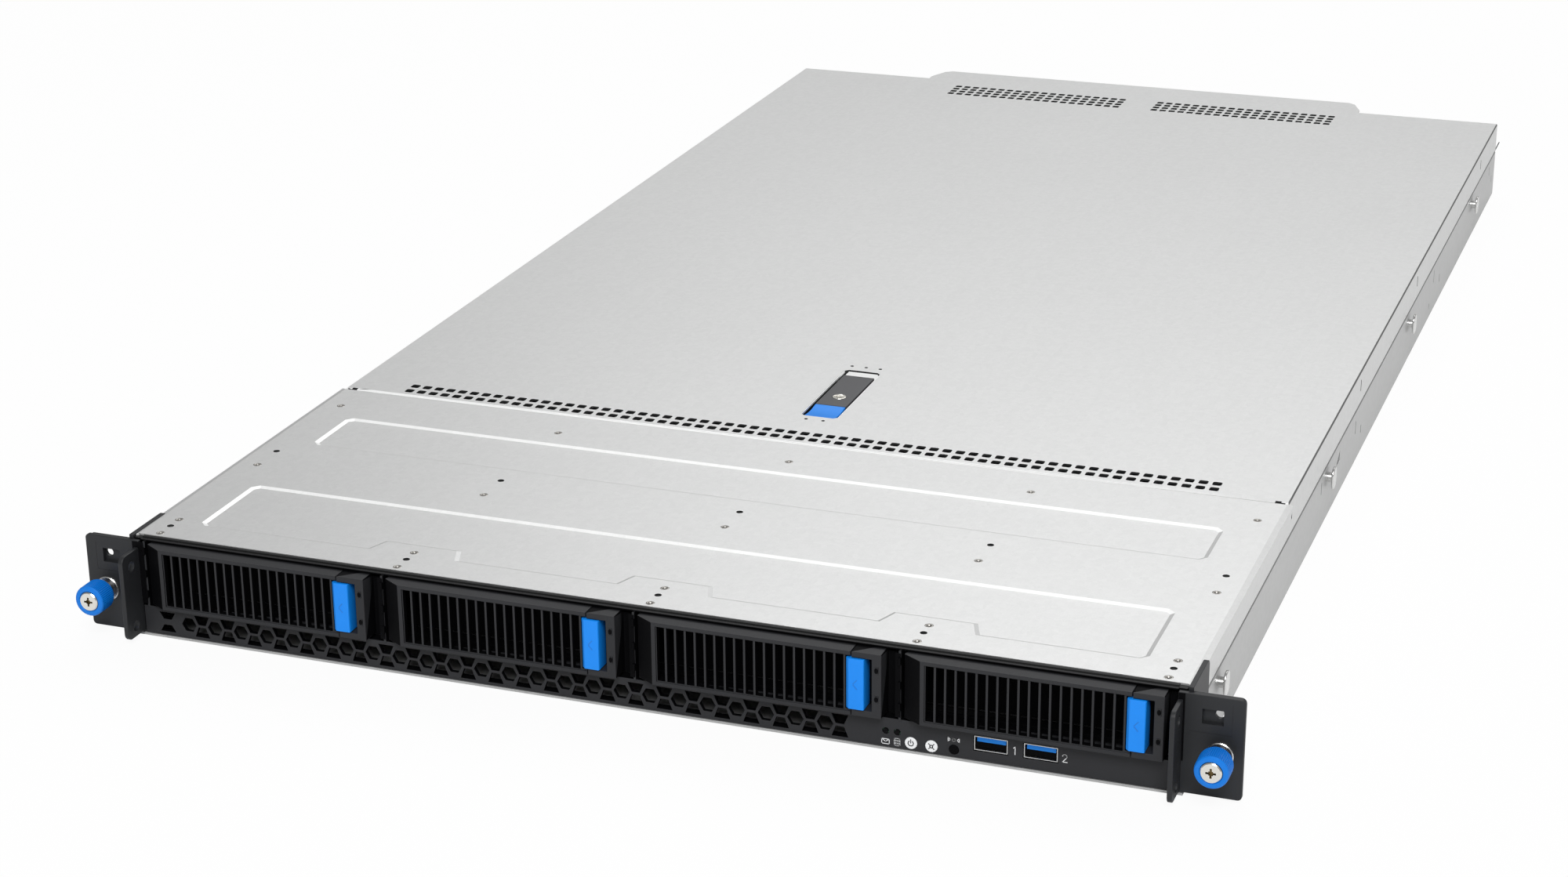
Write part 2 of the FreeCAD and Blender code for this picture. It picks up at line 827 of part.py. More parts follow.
def make_front_bezel():
    edge = trim_edge - 0.3
    strip = (size.metal, size.strip_top)
    body = new_body()
    face = sketch_on(body, "XZ_Plane")
    rectangle(face, (-edge, edge), strip)
    pad(body, face, size.bezel_plate, reverse=True)

    # hexagon cells: whole ones in every other column, clipped ones between
    reach = size.hex_flats / 2
    side = reach * (2 / math.sqrt(3))
    x, z = -size.hex_first, size.hex_height
    cells = sketch_on(body, "XZ_Plane")
    outline(cells, [(x - side, z), (x - side / 2, z + reach), (x + side / 2, z + reach),
                    (x + side, z), (x + side / 2, z - reach), (x - side / 2, z - reach)])
    shift = reach + 0.55
    x = x + size.hex_pitch / 2
    for sign, limit in ((1, size.hex_upper_end), (-1, size.hex_lower_end)):
        near = z + shift * sign - reach * sign
        outline(cells, [(x - side / 2, near), (x + side / 2, near), (x + side, limit), (x - side, limit)])
    cell = pocket(body, cells, size.bezel_plate + 1)
    repeat(body, cell, cells, size.hex_pitch, HEX_COLUMNS)

    # bow-tie openings at the left end
    bow = sketch_on(body, "XZ_Plane")
    x = -size.hex_first - 10
    outline(bow, [(x - 3.6, 11.2), (x + 3.6, 11.2), (x + 1.8, 8.2), (x - 1.8, 8.2)])
    outline(bow, [(x - 3.6, 2.6), (x + 3.6, 2.6), (x + 1.8, 5.6), (x - 1.8, 5.6)])
    pocket(body, bow, size.bezel_plate + 1)

    # control panel: lamp, key and socket openings
    panel = sketch_on(body, "XZ_Plane")
    circle(panel, size.power_x, size.key_height, size.key_radius + size.key_gap)
    circle(panel, size.id_x, size.key_height, size.key_radius + size.key_gap)
    circle(panel, size.reset_x, size.key_height, size.reset_radius + size.key_gap)
    for step in (0, 1):
        outline(panel, ring_points(size.led_first_x + size.led_step * step, size.led_height,
                                   8, size.led_radius * 2 + 0.2))
        middle = size.usb_x + size.usb_step * step
        rectangle(panel, centred(middle, size.usb_width + 0.5), centred(size.usb_height, size.usb_tall + 0.5))
    body.Tip = pocket(body, panel, size.bezel_plate + 1)

    # lip over the trays, posts between them and shelves behind the strip
    outer = half - 0.2
    behind = size.trim + 0.3
    deep = (1.0, bezel_back)
    lip_low = size.tray_face_top + 0.4
    shelf_top = size.metal + size.shelf
    keys_left = size.led_first_x - 3
    keys_right = size.reset_x + 4
    pieces = [
        box((-edge, edge), (1.5, bezel_back), (lip_low, top - 0.7)),
        box((-edge, edge), (3.2, bezel_back), (top - 1.0, top - 0.2)),
        box((-outer, outer), (behind, bezel_back), (lip_low, top - 0.7)),
        box((-outer, outer), (behind, bezel_back), (size.strip_top - size.shelf, size.strip_top)),
        box((-edge, edge), deep, (size.strip_top - size.shelf, size.strip_top)),
        box((-edge, keys_left), deep, (size.metal, shelf_top)),
        box((keys_right, edge), deep, (size.metal, shelf_top)),
    ]
    for side in (-1, 1):
        pieces.append(box(mirrored(side, outer - 2.5, outer), (behind, bezel_back),
                          (size.metal, size.tray_face_top + 0.8)))
    for bay in range(BAYS):
        x = bay_wall_x(bay)
        pieces.append(box((x - 0.5, x + 0.5), (-0.3, bezel_back),
                          (size.strip_top - 0.5, size.tray_face_top + 0.8)))
    keep("front_bezel", fuse(body, *pieces))


def make_key(label, x, radius):
    """Push key: a round cap with a collar behind the panel and a stem to its switch."""
    front = lift(-0.3)
    behind = size.bezel_plate + size.key_travel + 0.3
    z = size.key_height
    cap = prism("Y", (x, front, z), 14, radius * 2, behind + 0.2 - front)
    collar = box(centred(x, radius * 2 + 1.2), (behind, behind + 0.8), centred(z, 4))
    stem = box(centred(x, 2), (behind, behind + 3.2), centred(z, 2))
    keep(label, fuse(cap, collar, stem))


def make_control_board():
    board_low = size.usb_height - size.usb_tall / 2 - 1.4
    x = (size.led_first_x - 8, size.usb_x + size.usb_step + 16)
    deep = (9.5, 52.0)
    pieces = [box(x, deep, (board_low, board_low + 1.2))]
    switch_front = size.bezel_plate + size.key_travel + 0.3 + 3.2 + size.key_travel + 0.2
    for middle in (size.power_x, size.id_x, size.reset_x):
        pieces.append(box(centred(middle, 5), (switch_front, 14.0), (size.key_height - 2, size.key_height + 2)))
    for step in (0, 1):
        middle = size.led_first_x + size.led_step * step
        pieces.append(prism("Y", (middle, 0.6, size.led_height), 8, size.led_radius * 2, 10))
    pieces.append(box((size.led_first_x - 2, size.led_first_x + size.led_step + 2), (9.5, 13.0),
                      (board_low, size.led_height + 2)))
    for end in x:
        middle = end + 4 if end is x[0] else end - 4
        pieces.append(prism("Z", (middle, 46, size.metal), 6, 4.5, board_low - size.metal))
    keep("control_board", fuse(*pieces))

    sockets = []
    for step in (0, 1):
        middle = size.usb_x + size.usb_step * step
        wide, tall = size.usb_width, size.usb_tall
        shell = cut(box(centred(middle, wide), (0.3, 18), centred(size.usb_height, tall)),
                    box(centred(middle, wide - size.usb_wall * 2), (-1, 16),
                        centred(size.usb_height, tall - size.usb_wall * 2)))
        tongue = box(centred(middle, wide - 2), (1.5, 17), (size.usb_height + 0.4, size.usb_height + 2.2))
        sockets.append(fuse(shell, tongue))
    keep("usb_sockets", group(*sockets))


# --- rack ears and thumbscrews ---

def make_ear(side, name):
    low, high = size.ear_bottom, size.ear_top
    outer = half + size.ear_reach
    corner = 1.5
    body = new_body()
    face = sketch_on(body, "XZ_Plane")
    outline(face, [(side * x, z) for x, z in (
        (trim_edge, low), (outer - corner, low), (outer, low + corner),
        (outer, high - corner), (outer - corner, high), (trim_edge, high))])
    window = mirrored(side, window_in, window_in + size.window_width)
    rectangle(face, window, (size.window_bottom, size.window_bottom + size.window_tall))
    outline(face, ring_points(side * screw_x, size.screw_height, 12, size.barrel_radius * 2 + 0.3))
    pad(body, face, size.trim, reverse=True)

    # pull tab standing forward at the inner edge, with two round holes
    tab_low, tab_high, cornering = 1.9, 40.4, 3.0
    tab = sketch_on(body, "YZ_Plane", side * trim_edge if side > 0 else -trim_edge - size.tab_plate)
    outline(tab, [(1.0, tab_low), (1.0, tab_high), (cornering - size.tab_out, tab_high),
                  (-size.tab_out, tab_high - cornering), (-size.tab_out, tab_low + cornering),
                  (cornering - size.tab_out, tab_low)])
    for z in (tab_low + 4.6, tab_high - 6.0):
        outline(tab, ring_points(-size.tab_out / 2, z, 10, 4.6))
    body.Tip = pad(body, tab, size.tab_plate)
    keep(f"ear_trim_{name}", body)

    # steel bracket behind the trim, folded back along the body's side
    low, high = low + 0.4, high - 0.6
    back = size.trim + 0.1
    front_plate = box(mirrored(side, bracket_inner, outer - 0.4), (back, back + size.bracket), (low, high))
    flange = box(mirrored(side, bracket_inner, bracket_outer), (back, size.bracket_reach), (low, high))
    hole_x = side * (window_in + size.window_width * 0.66)
    hole = prism("Y", (hole_x, 0, size.window_bottom + 2.4), 12, 4.4, 8)
    screw_hole = prism("Y", (side * screw_x, 0, size.screw_height), 12, size.barrel_radius * 2 + 0.3, 8)
    keep(f"ear_bracket_{name}", cut(fuse(front_plate, flange), hole, screw_hole))


def make_thumbscrew(side, name):
    x = side * screw_x
    shank = size.shank_radius
    z = size.screw_height
    cavity_floor = size.knob_floor - size.knob_front
    ring_front = cavity_floor + 0.3
    ring = prism("Y", (x, ring_front, z), 8, size.barrel_radius * 2 - 0.8, size.ring_width)
    ring_bore = prism("Y", (x, ring_front - 1, z), 8, shank * 2 + 0.3, size.ring_width + 2)
    keep(f"retainer_{name}", cut(ring, ring_bore))

    # sleeve with a knurl of flats, open behind so that it slides over the guide
    sleeve = prism("Y", (x, -size.knob_front, z), 24, size.knob_radius * 2, size.knob_front - size.knob_back)
    sleeve_bore = prism("Y", (x, -size.knob_front - 1, z), 12, size.head_radius * 2,
                        size.knob_front - size.knob_back + 2)
    keep(f"knob_{name}", cut(sleeve, sleeve_bore))

    head_front = -size.knob_front - 0.3
    tip_y = size.trim + size.bracket + 4.4
    head = prism("Y", (x, head_front, z), 12, size.head_radius * 2, cavity_floor - head_front)
    thread_start = size.trim + size.bracket + 1.1
    rod = cylinder("Y", (x, cavity_floor - 1, z), shank, thread_start - cavity_floor + 1)
    thread = cylinder("Y", (x, thread_start - 1, z), size.thread_radius, tip_y - thread_start + 1)
    recess = [box(centred(x, wide), (head_front - 1, head_front + 1.2), centred(z, tall))
              for wide, tall in ((4.4, 0.9), (0.9, 4.4))]
    keep(f"screw_{name}", cut(fuse(head, rod, thread), *recess))


def make_ferrules():
    """The two pressed-in guides that the thumbscrews run in."""
    shank = size.shank_radius + size.shank_gap
    barrel = size.barrel_radius
    back = size.trim + size.bracket + 0.9
    guides = []
    for side in (-1, 1):
        x, z = side * screw_x, size.screw_height
        sleeve = prism("Y", (x, -size.barrel_out, z), 12, barrel * 2, size.barrel_out + back)
        flange = prism("Y", (x, -0.8, z), 12, size.flange_radius * 2, 0.75)
        bore = cylinder("Y", (x, -size.barrel_out - 1, z), shank, size.barrel_out + back + 2)
        guides.append(cut(fuse(sleeve, flange), bore))
    keep("thumbscrew_ferrules", group(*guides))


def make_rail_studs():
    """T-headed studs on both sides that hang the body in its slide rails."""
    studs = []
    for side in (-1, 1):
        for step in range(4):
            y = size.rail_stud_first + size.rail_stud_pitch * step
            foot = box(mirrored(side, half, half + 2.6), centred(y, 5), centred(size.rail_stud_height, 6))
            head = box(mirrored(side, half + 2.2, half + 3.4), centred(y, 8), centred(size.rail_stud_height, 10))
            studs.append(fuse(foot, head))
    keep("rail_studs", group(*studs))


# --- inside: backplane, fans, board, power ---

def make_backplane():
    front = size.backplane_front
    low = size.bay_floor - 9
    pieces = [box((-pan_upper_inner + 1, pan_upper_inner - 1), (front, front + size.board_thickness), (low, 39))]
    drive_back = size.drive_front + size.drive_length
    for bay in range(BAYS):
        left = bay_face_x(bay)
        pieces.append(box((left + 35, left + 78), (drive_back + 0.3, front + 0.5),
                          (tray_floor + 3.4, tray_floor + 8.4)))
        pieces.append(box((left + 30, left + 62), (front + 1, front + 9), (22, 30)))
    for side in (-1, 1):
        middle = side * (pan_upper_inner - 8)
        pieces.append(box(centred(middle, 8), (front + 0.8, front + 3.8), (size.metal, 20)))
    keep("backplane", fuse(*pieces))


def fan_centre(fan):
    return size.fan_pitch * (fan - (FANS - 1) / 2)


fan_axis_z = size.metal + size.fan_size / 2


def make_fans():
    frames = []
    front = size.fan_front
    back = front + size.fan_depth
    for fan in range(FANS):
        x = fan_centre(fan)
        case = box(centred(x, size.fan_size), (front, back), (size.metal, size.metal + size.fan_size))
        bore = prism("Y", (x, front - 1, fan_axis_z), 12, size.fan_bore * 2, size.fan_depth + 2)
        shell = cut(case, bore)
        strut = box(centred(x, size.fan_bore * 2 + 1.6), (back - 4, back), centred(fan_axis_z, 7))
        bearing = cylinder("Y", (x, back - 5, fan_axis_z), size.rotor_shaft + size.shank_gap, 6)
        frames.append(cut(fuse(shell, strut), bearing))
    keep("fan_frames", group(*frames))


def make_rotor(fan):
    """Fan rotor: hub, flat pitched blades and the shaft that runs in the frame."""
    body = new_body()
    hub = sketch_on(body, "XZ_Plane", -2)
    outline(hub, ring_points(0, 0, 10, size.rotor_hub * 2))
    pad(body, hub, size.fan_depth - 7, reverse=True)
    shaft = sketch_on(body, "XZ_Plane", -2)
    circle(shaft, 0, 0, size.rotor_shaft)
    pad(body, shaft, size.fan_depth - 3, reverse=True)
    blade = sketch_on(body, "XY_Plane", size.rotor_hub - 1.5)
    outline(blade, [(-4.6, 4.0), (-3.4, 3.4), (4.6, 19.0), (3.4, 19.6)])
    vane = pad(body, blade, size.rotor_tip - size.rotor_hub + 1.5)
    ring = body.newObject("PartDesign::PolarPattern", "Blades")
    ring.Originals = [vane]
    ring.Axis = (next(item for item in body.Origin.OriginFeatures if item.Role == "Y_Axis"), [""])
    ring.Angle = 360
    ring.Occurrences = BLADES
    body.Tip = ring
    place(body, fan_centre(fan), size.fan_front, fan_axis_z)
    keep(f"fan_rotor_{fan + 1}", body)


board_low = size.metal + size.board_lift
board_high = board_low + size.board_thickness


def make_main_board():
    wide = size.board_half
    deep = (size.board_front, rear - 6)
    pieces = [box((-wide, wide), deep, (board_low, board_high))]
    for x in (-1, 1):
        for y in (size.board_front + 10, (size.board_front + rear) / 2, rear - 16):
            pieces.append(prism("Z", (x * (wide - 8), y, size.metal), 6, 5.5, size.board_lift + 0.5))
    for x in (-58, 58):
        pieces.append(box(centred(x, 60), (430, 500), (board_high - 0.2, board_high + 5)))
    for name, x, width, tall in REAR_PORTS:
        pieces.append(box(centred(x, width), (rear - 20, rear + 0.3), (board_high - 0.2, board_high + tall)))
    keep("main_board", fuse(*pieces))


# Rear sockets on the board: kind, centre, width, height over the board.
REAR_PORTS = (
    ("video", 24.0, 30.0, 12.0),
    ("usb", 56.0, 14.0, 15.0),
    ("network", 80.0, 16.0, 13.5),
    ("network", 98.0, 16.0, 13.5),
    ("service", 116.0, 16.0, 13.5),
)


def make_heatsinks():
    sinks = []
    for x in (-58, 58):
        base = box(centred(x, 76), (418, 512), (board_high + 5.1, board_high + 9))
        fins = []
        for fin in range(8):
            left = x - 37.5 + 10.5 * fin
            fins.append(box((left, left + 1.2), (418, 512), (board_high + 8.5, 40.0)))
        sinks.append(fuse(base, *fins))
    keep("heatsinks", group(*sinks))


def make_memory():
    modules = []
    for x in (-116, -106, -6, 6, 106, 116):
        socket = box(centred(x, 5), (400, 542), (board_high, board_high + 6))
        card = box(centred(x, 1.4), (404.5, 537.5), (board_high + 5.5, board_high + 30))
        modules.append(fuse(socket, card))
    keep("memory_modules", group(*modules))


def make_air_duct():
    wide = (-150, 150)
    roof = box(wide, (340, 396), (40.2, 41.4))
    sides = [box(mirrored(side, 148.8, 150), (340, 396), (size.metal, 41)) for side in (-1, 1)]
    keep("air_duct", fuse(roof, *sides))


def make_riser():
    """Riser card in its sheet cage, lying a full-height card flat over the board."""
    front = rear - 180
    card = box((-14, -12.4), (front, rear - 40), (board_high, 38))
    socket = box((-17, -9.4), (front + 10, rear - 50), (board_high, board_high + 8))
    slot = box((-22, -14), (front + 50, rear - 42), (26, 34))
    cage = box((-126, -12.4), (front, rear - 4), (38, 39))
    fold = box((-126, -125), (front, rear - 4), (board_high, 39))
    bracket = box((-124, -18), (rear - 4, rear - 3), (18, 39))
    keep("riser_cage", fuse(card, socket, slot, cage, fold, bracket))


def make_rear_panel():
    edge = size.psu_centre - size.psu_width / 2 - 1.2
    plate = box((-edge, edge), (rear - size.metal, rear), (size.metal, pan_top))
    holes = []
    for name, x, width, tall in REAR_PORTS:
        holes.append(box(centred(x, width + 0.8), (rear - 3, rear + 3), (board_high - 0.6, board_high + tall + 0.4)))
    holes.append(box((-122, -20), (rear - 3, rear + 3), (24, 36)))
    for step in range(4):
        left = 14 + 28 * step
        holes.append(box((left, left + 24), (rear - 3, rear + 3), (27, 36)))
    for step in range(4):
        left = -120 + 26 * step
        holes.append(box((left, left + 22), (rear - 3, rear + 3), (8, 18)))
    keep("rear_panel", cut(plate, *holes))


def make_psu(side, name):
    middle = side * size.psu_centre
    x = centred(middle, size.psu_width)
    low = size.metal + size.psu_lift
    z = (low, low + size.psu_height)
    back = rear - 1
    shell = box(x, (back - size.psu_length, back), z)
    inlet = box(centred(middle - 16, 27), (back - 16, back + 1), centred(low + 19.5, 19))
    blades = [box(centred(middle - 16 + shift, 2), (back - 17, back - 4), centred(low + 19.5 + up, 5))
              for shift, up in ((-7, -2), (0, 2), (7, -2))]
    grille = []
    for row in range(5):
        grille.append(box(centred(middle + 16, 30), (back - 3, back + 1), centred(low + 7 + row * 6.3, 4)))
    latch_slot = box(centred(middle + 34, 3.6), (back - 12, back + 1), centred(low + 19.5, 17))
    handle = cut(box(centred(middle - 33, 3), (back - 0.5, back + 20), (low + 4, z[1] - 4)),
                 box(centred(middle - 33, 5), (back + 3, back + 16), (low + 9, z[1] - 9)))
    keep(f"power_supply_{name}", fuse(cut(shell, inlet, *grille, latch_slot), handle, *blades))
    tongue = box(centred(middle + 33.6, 1.6), (back - 11, back + 8), centred(low + 19.5, 15))
    keep(f"psu_latch_{name}", tongue)


make_chassis_pan()
make_rear_panel()
make_front_cover()
make_rear_cover()
make_latch()
make_cross_brace()
make_drive_cage()
make_front_bezel()
make_control_board()
make_key("power_button", size.power_x, size.key_radius)
make_key("id_button", size.id_x, size.key_radius)
make_key("reset_button", size.reset_x, size.reset_radius)
for bay in range(BAYS):
    make_tray(bay)
    make_handle(bay)
    make_release(bay)
    make_drive(bay)
for side, name in ((-1, "left"), (1, "right")):
    make_ear(side, name)
    make_thumbscrew(side, name)
    make_psu(side, name)
make_ferrules()
make_rail_studs()
make_backplane()
make_fans()
for fan in range(FANS):
    make_rotor(fan)
make_main_board()
make_heatsinks()
make_memory()
make_air_duct()
make_riser()

doc.recompute()

failed = [item.Name for item in doc.Objects if {"Invalid", "Error"} & set(item.State)]
if failed:
    raise SystemExit(f"objects failed: {failed}")
for label, thing in made.items():
    if thing.Shape.isNull() or not thing.Shape.isValid():
        raise SystemExit(f"{label} has no valid shape")

os.makedirs("parts", exist_ok=True)
for label, thing in made.items():
    thing.Shape.exportStep(f"parts/{label}.step")
print(len(made), "parts written")
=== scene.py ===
import json
import math

import bmesh
import bpy
from mathutils import Matrix, Vector


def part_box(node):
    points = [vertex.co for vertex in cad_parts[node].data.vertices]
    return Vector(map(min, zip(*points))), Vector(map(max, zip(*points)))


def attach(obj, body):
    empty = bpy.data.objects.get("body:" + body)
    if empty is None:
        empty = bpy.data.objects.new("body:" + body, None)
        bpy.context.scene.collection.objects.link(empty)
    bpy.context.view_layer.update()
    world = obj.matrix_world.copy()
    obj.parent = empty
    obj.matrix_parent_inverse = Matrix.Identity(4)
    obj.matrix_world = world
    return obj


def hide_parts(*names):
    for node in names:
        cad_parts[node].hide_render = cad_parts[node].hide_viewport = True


# Dressing of a 1U rack server. Metres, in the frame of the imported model: +X to the server's
# right seen from the front, +Y to the rear, +Z up.

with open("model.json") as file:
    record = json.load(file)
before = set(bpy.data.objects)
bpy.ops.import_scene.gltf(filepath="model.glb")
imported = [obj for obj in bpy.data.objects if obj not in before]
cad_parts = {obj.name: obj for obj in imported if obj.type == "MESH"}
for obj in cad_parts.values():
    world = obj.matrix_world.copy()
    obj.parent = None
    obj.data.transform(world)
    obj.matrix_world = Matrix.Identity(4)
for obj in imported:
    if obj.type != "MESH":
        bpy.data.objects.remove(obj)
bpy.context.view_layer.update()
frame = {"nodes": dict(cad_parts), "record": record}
nodes = frame["nodes"]
MM = 0.001
WELD = 0.004 * MM                         # corners this near become one
body_of_node = {node: body
                for body, members in frame["record"]["behaviour"]["bodies"].items()
                for node in members}


# --- shader maths ---

class Value:
    """What a shader node gives, usable in ordinary sums."""

    def __init__(self, finish, socket):
        self.finish = finish
        self.socket = socket

    def math(self, operation, *values):
        inputs = dict(enumerate(values))
        return self.finish.node("ShaderNodeMath", {"operation": operation}, inputs)

    def __add__(self, other):
        return self.math("ADD", self, other)

    def __radd__(self, other):
        return self.math("ADD", other, self)

    def __sub__(self, other):
        return self.math("SUBTRACT", self, other)

    def __rsub__(self, other):
        return self.math("SUBTRACT", other, self)

    def __mul__(self, other):
        return self.math("MULTIPLY", self, other)

    def __rmul__(self, other):
        return self.math("MULTIPLY", other, self)

    def clear_of(self, low, high):
        """0 below low, 1 above high."""
        return self.finish.node("ShaderNodeMapRange", {"interpolation_type": "SMOOTHSTEP"},
                                {"Value": self, "From Min": low, "From Max": high})


class Finish:
    """A material whose one Principled surface is fed by sums of Values."""

    def __init__(self, name):
        self.material = bpy.data.materials.new(name)
        self.material.use_nodes = True
        self.tree = self.material.node_tree
        self.tree.nodes.clear()

    def node(self, kind, settings=None, inputs=None, output=0):
        item = self.tree.nodes.new(kind)
        for key, value in (settings or {}).items():
            setattr(item, key, value)
        for key, value in (inputs or {}).items():
            if isinstance(value, Value):
                self.tree.links.new(value.socket, item.inputs[key])
            else:
                item.inputs[key].default_value = value
        return Value(self, item.outputs[output]) if item.outputs else None

    def place(self):
        return self.node("ShaderNodeTexCoord", output="Object")

    def stretched(self, place, scale):
        return self.node("ShaderNodeMapping", None, {"Vector": place, "Scale": scale})

    def noise(self, place, scale, detail=3.0, roughness=0.55):
        return self.node("ShaderNodeTexNoise", None,
                         {"Vector": place, "Scale": scale, "Detail": detail, "Roughness": roughness})

    def cells(self, place, scale, output="Distance"):
        return self.node("ShaderNodeTexVoronoi", None, {"Vector": place, "Scale": scale}, output)

    def blend(self, share, first, second):
        """A colour between two colours."""
        return self.node("ShaderNodeMix", {"data_type": "RGBA"}, {0: share, 6: first, 7: second}, 2)

    def bump(self, height, strength, distance):
        return self.node("ShaderNodeBump", None,
                         {"Height": height, "Strength": strength, "Distance": distance})

    def surface(self, colour, roughness, metallic=0.0, normal=None, coat=0.0, specular=0.5):
        inputs = {"Base Color": colour, "Roughness": roughness, "Metallic": metallic,
                  "Coat Weight": coat, "Specular IOR Level": specular}
        if normal:
            inputs["Normal"] = normal
        shader = self.node("ShaderNodeBsdfPrincipled", None, inputs)
        self.node("ShaderNodeOutputMaterial", None, {"Surface": shader})
        return self.material


def rgb(red, green, blue):
    return (red, green, blue, 1.0)


def zinc_sheet(name, tone, metallic=0.75):
    """Zinc-coated sheet: fine speckle, faint cloudy patches, a rolled grain along its length."""
    f = Finish(name)
    place = f.place()
    speckle = f.noise(place, 1500.0, 2.0)
    spangle = f.cells(place, 420.0, "Color")
    patches = f.noise(place, 14.0, 4.0)
    grain = f.noise(f.stretched(place, (900.0, 18.0, 900.0)), 1.0, 3.0)
    shade = 0.55 * speckle + 0.25 * spangle + 0.2 * grain
    dark = rgb(tone * 0.86, tone * 0.865, tone * 0.862)
    light = rgb(tone * 1.06, tone * 1.065, tone * 1.06)
    colour = f.blend(shade, dark, light)
    roughness = 0.40 + 0.03 * patches + 0.06 * speckle
    height = 0.6 * speckle + 0.4 * grain
    return f.surface(colour, roughness, metallic, f.bump(height, 0.12, 0.00006))


def moulded(name, colour, lift, roughness=0.46, grain=2600.0, specular=0.5, shade=None):
    """Moulded plastic with a fine spark-eroded grain; when shade is given, its colour is darkened behind the
    front as painted shade.
    """
    f = Finish(name)
    place = f.place()
    fine = f.noise(place, grain, 3.0)
    broad = f.noise(place, 60.0, 3.0)
    low = rgb(*(part * (1 - lift) for part in colour))
    high = rgb(*(min(1.0, part * (1 + lift)) for part in colour))
    tint = f.blend(0.6 * fine + 0.4 * broad, low, high)
    # painted shade: the colour darkens from 0.3 to 2.2 mm behind the front
    if shade is not None:
        depth = f.node("ShaderNodeSeparateXYZ", None, {0: place}, 1).clear_of(0.3 * MM, 2.2 * MM)
        tint = f.blend(depth, tint, rgb(*(part * shade for part in colour)))
    rough = (roughness - 0.06) + 0.12 * fine + 0.05 * broad
    return f.surface(tint, rough, 0.0, f.bump(fine, 0.18, 0.00005), 0.0, specular)


def plated(name, colour, roughness, metallic=1.0):
    """Plated steel with turning marks and a little cloudiness."""
    f = Finish(name)
    place = f.place()
    fine = f.noise(place, 1800.0, 3.0)
    cloud = f.noise(place, 160.0, 3.0)
    low = rgb(*(part * 0.88 for part in colour))
    tint = f.blend(0.5 * fine + 0.5 * cloud, low, rgb(*colour))
    return f.surface(tint, (roughness - 0.05) + 0.12 * cloud, metallic, f.bump(fine, 0.08, 0.00004))


def board_lacquer(name, base, copper):
    """Lacquered circuit board with fine tracks under the mask."""
    f = Finish(name)
    place = f.place()
    tracks = f.noise(f.stretched(place, (60.0, 700.0, 60.0)), 1.0, 2.0).clear_of(0.5, 0.56)
    specks = f.cells(place, 300.0).clear_of(0.1, 0.18)
    colour = f.blend(0.35 * tracks + 0.2 * (1 - specks), base, copper)
    return f.surface(colour, 0.32 + 0.1 * tracks, 0.0, f.bump(tracks, 0.2, 0.00006), 0.3)


ZINC = zinc_sheet("zinc_cover_sheet", 0.73)
PAN_ZINC = zinc_sheet("zinc_pan_sheet", 0.55)
CAGE_ZINC = zinc_sheet("zinc_inner_sheet", 0.50)
# painted shade: the drive cage's zinc darkened to near-black behind the bezel
CAGE_SHADE_ZINC = zinc_sheet("cage_zinc_painted_shade", 0.05, 0.3)
# black moulding with painted shade behind its front (shade 0.12)
BLACK = moulded("black_moulding", (0.021, 0.0215, 0.024), 0.2, 0.5, 2600.0, 0.3, 0.12)
INNER_BLACK = moulded("inner_black_moulding", (0.012, 0.012, 0.013), 0.3, 0.5)
SHADOW_BLACK = moulded("shadow_black", (0.002, 0.002, 0.0025), 0.2, 0.6, 2600.0, 0.06)
EAR_BLACK = moulded("black_ear_paint", (0.016, 0.017, 0.019), 0.25, 0.46, 3200.0, 0.4)
LEVER_BLACK = moulded("lever_black_moulding", (0.060, 0.061, 0.066), 0.25, 0.42)
BLUE = moulded("blue_moulding", (0.004, 0.24, 0.84), 0.1, 0.42, 2600.0, 0.35)
WHITE = moulded("white_key_print", (0.84, 0.85, 0.86), 0.04, 0.4)
MARK_WHITE = moulded("white_pad_print", (0.78, 0.79, 0.80), 0.06, 0.5)
# black print on the keys, and painted shade at the bottom of the cover screws' recesses
PRINT_AND_SHADE_BLACK = moulded("black_print_and_painted_shade", (0.03, 0.03, 0.035), 0.1, 0.5)
# painted shade along the ear's moulding lines
EAR_SHADE_LINE = moulded("ear_painted_shade_line", (0.006, 0.006, 0.007), 0.1, 0.5)
# painted shade: darker blue for the arrow pressed into each release
ARROW_SHADE_BLUE = moulded("blue_arrow_painted_shade", (0.004, 0.17, 0.62), 0.1, 0.5)
# painted shade: near-black lamp windows that read as dark holes
LENS = moulded("lamp_lens_painted_shade", (0.0015, 0.0015, 0.002), 0.2, 0.5, 2600.0, 0.1)
NICKEL = plated("nickel_plate", (0.86, 0.84, 0.78), 0.24)
BRIGHT = plated("bright_zinc_plate", (0.74, 0.74, 0.73), 0.26)
SCREW_ZINC = plated("zinc_screw_plate", (0.62, 0.60, 0.56), 0.3)
CASTING = plated("drive_casting", (0.16, 0.165, 0.17), 0.5, 0.7)
# painted highlight: near-white zinc on the panels' lit walls, the seam's roll and the latch well
HIGHLIGHT_ZINC = zinc_sheet("zinc_painted_highlight", 0.97, 0.25)
THREAD_ZINC = plated("zinc_thread", (0.20, 0.20, 0.21), 0.35)
# painted shade inside the captive screws' cross recesses
RECESS_SHADE = plated("screw_recess", (0.22, 0.16, 0.07), 0.5)
KNOB_BLUE = moulded("knob_blue", (0.002, 0.175, 0.66), 0.1, 0.42, 2600.0, 0.3)
# painted shade: a dark line of zinc along the covers' folded edges
FOLD_SHADE_ZINC = zinc_sheet("zinc_fold_painted_shade", 0.2, 0.6)
# painted shade: near-black steel on cut hole walls, the latch well's walls and the side joints
SHADE_STEEL = plated("steel_painted_shade", (0.035, 0.036, 0.036), 0.6, 0.5)
FINS = plated("fin_aluminium", (0.72, 0.72, 0.73), 0.3)
BOARD = board_lacquer("green_board", rgb(0.012, 0.085, 0.04), rgb(0.10, 0.24, 0.09))

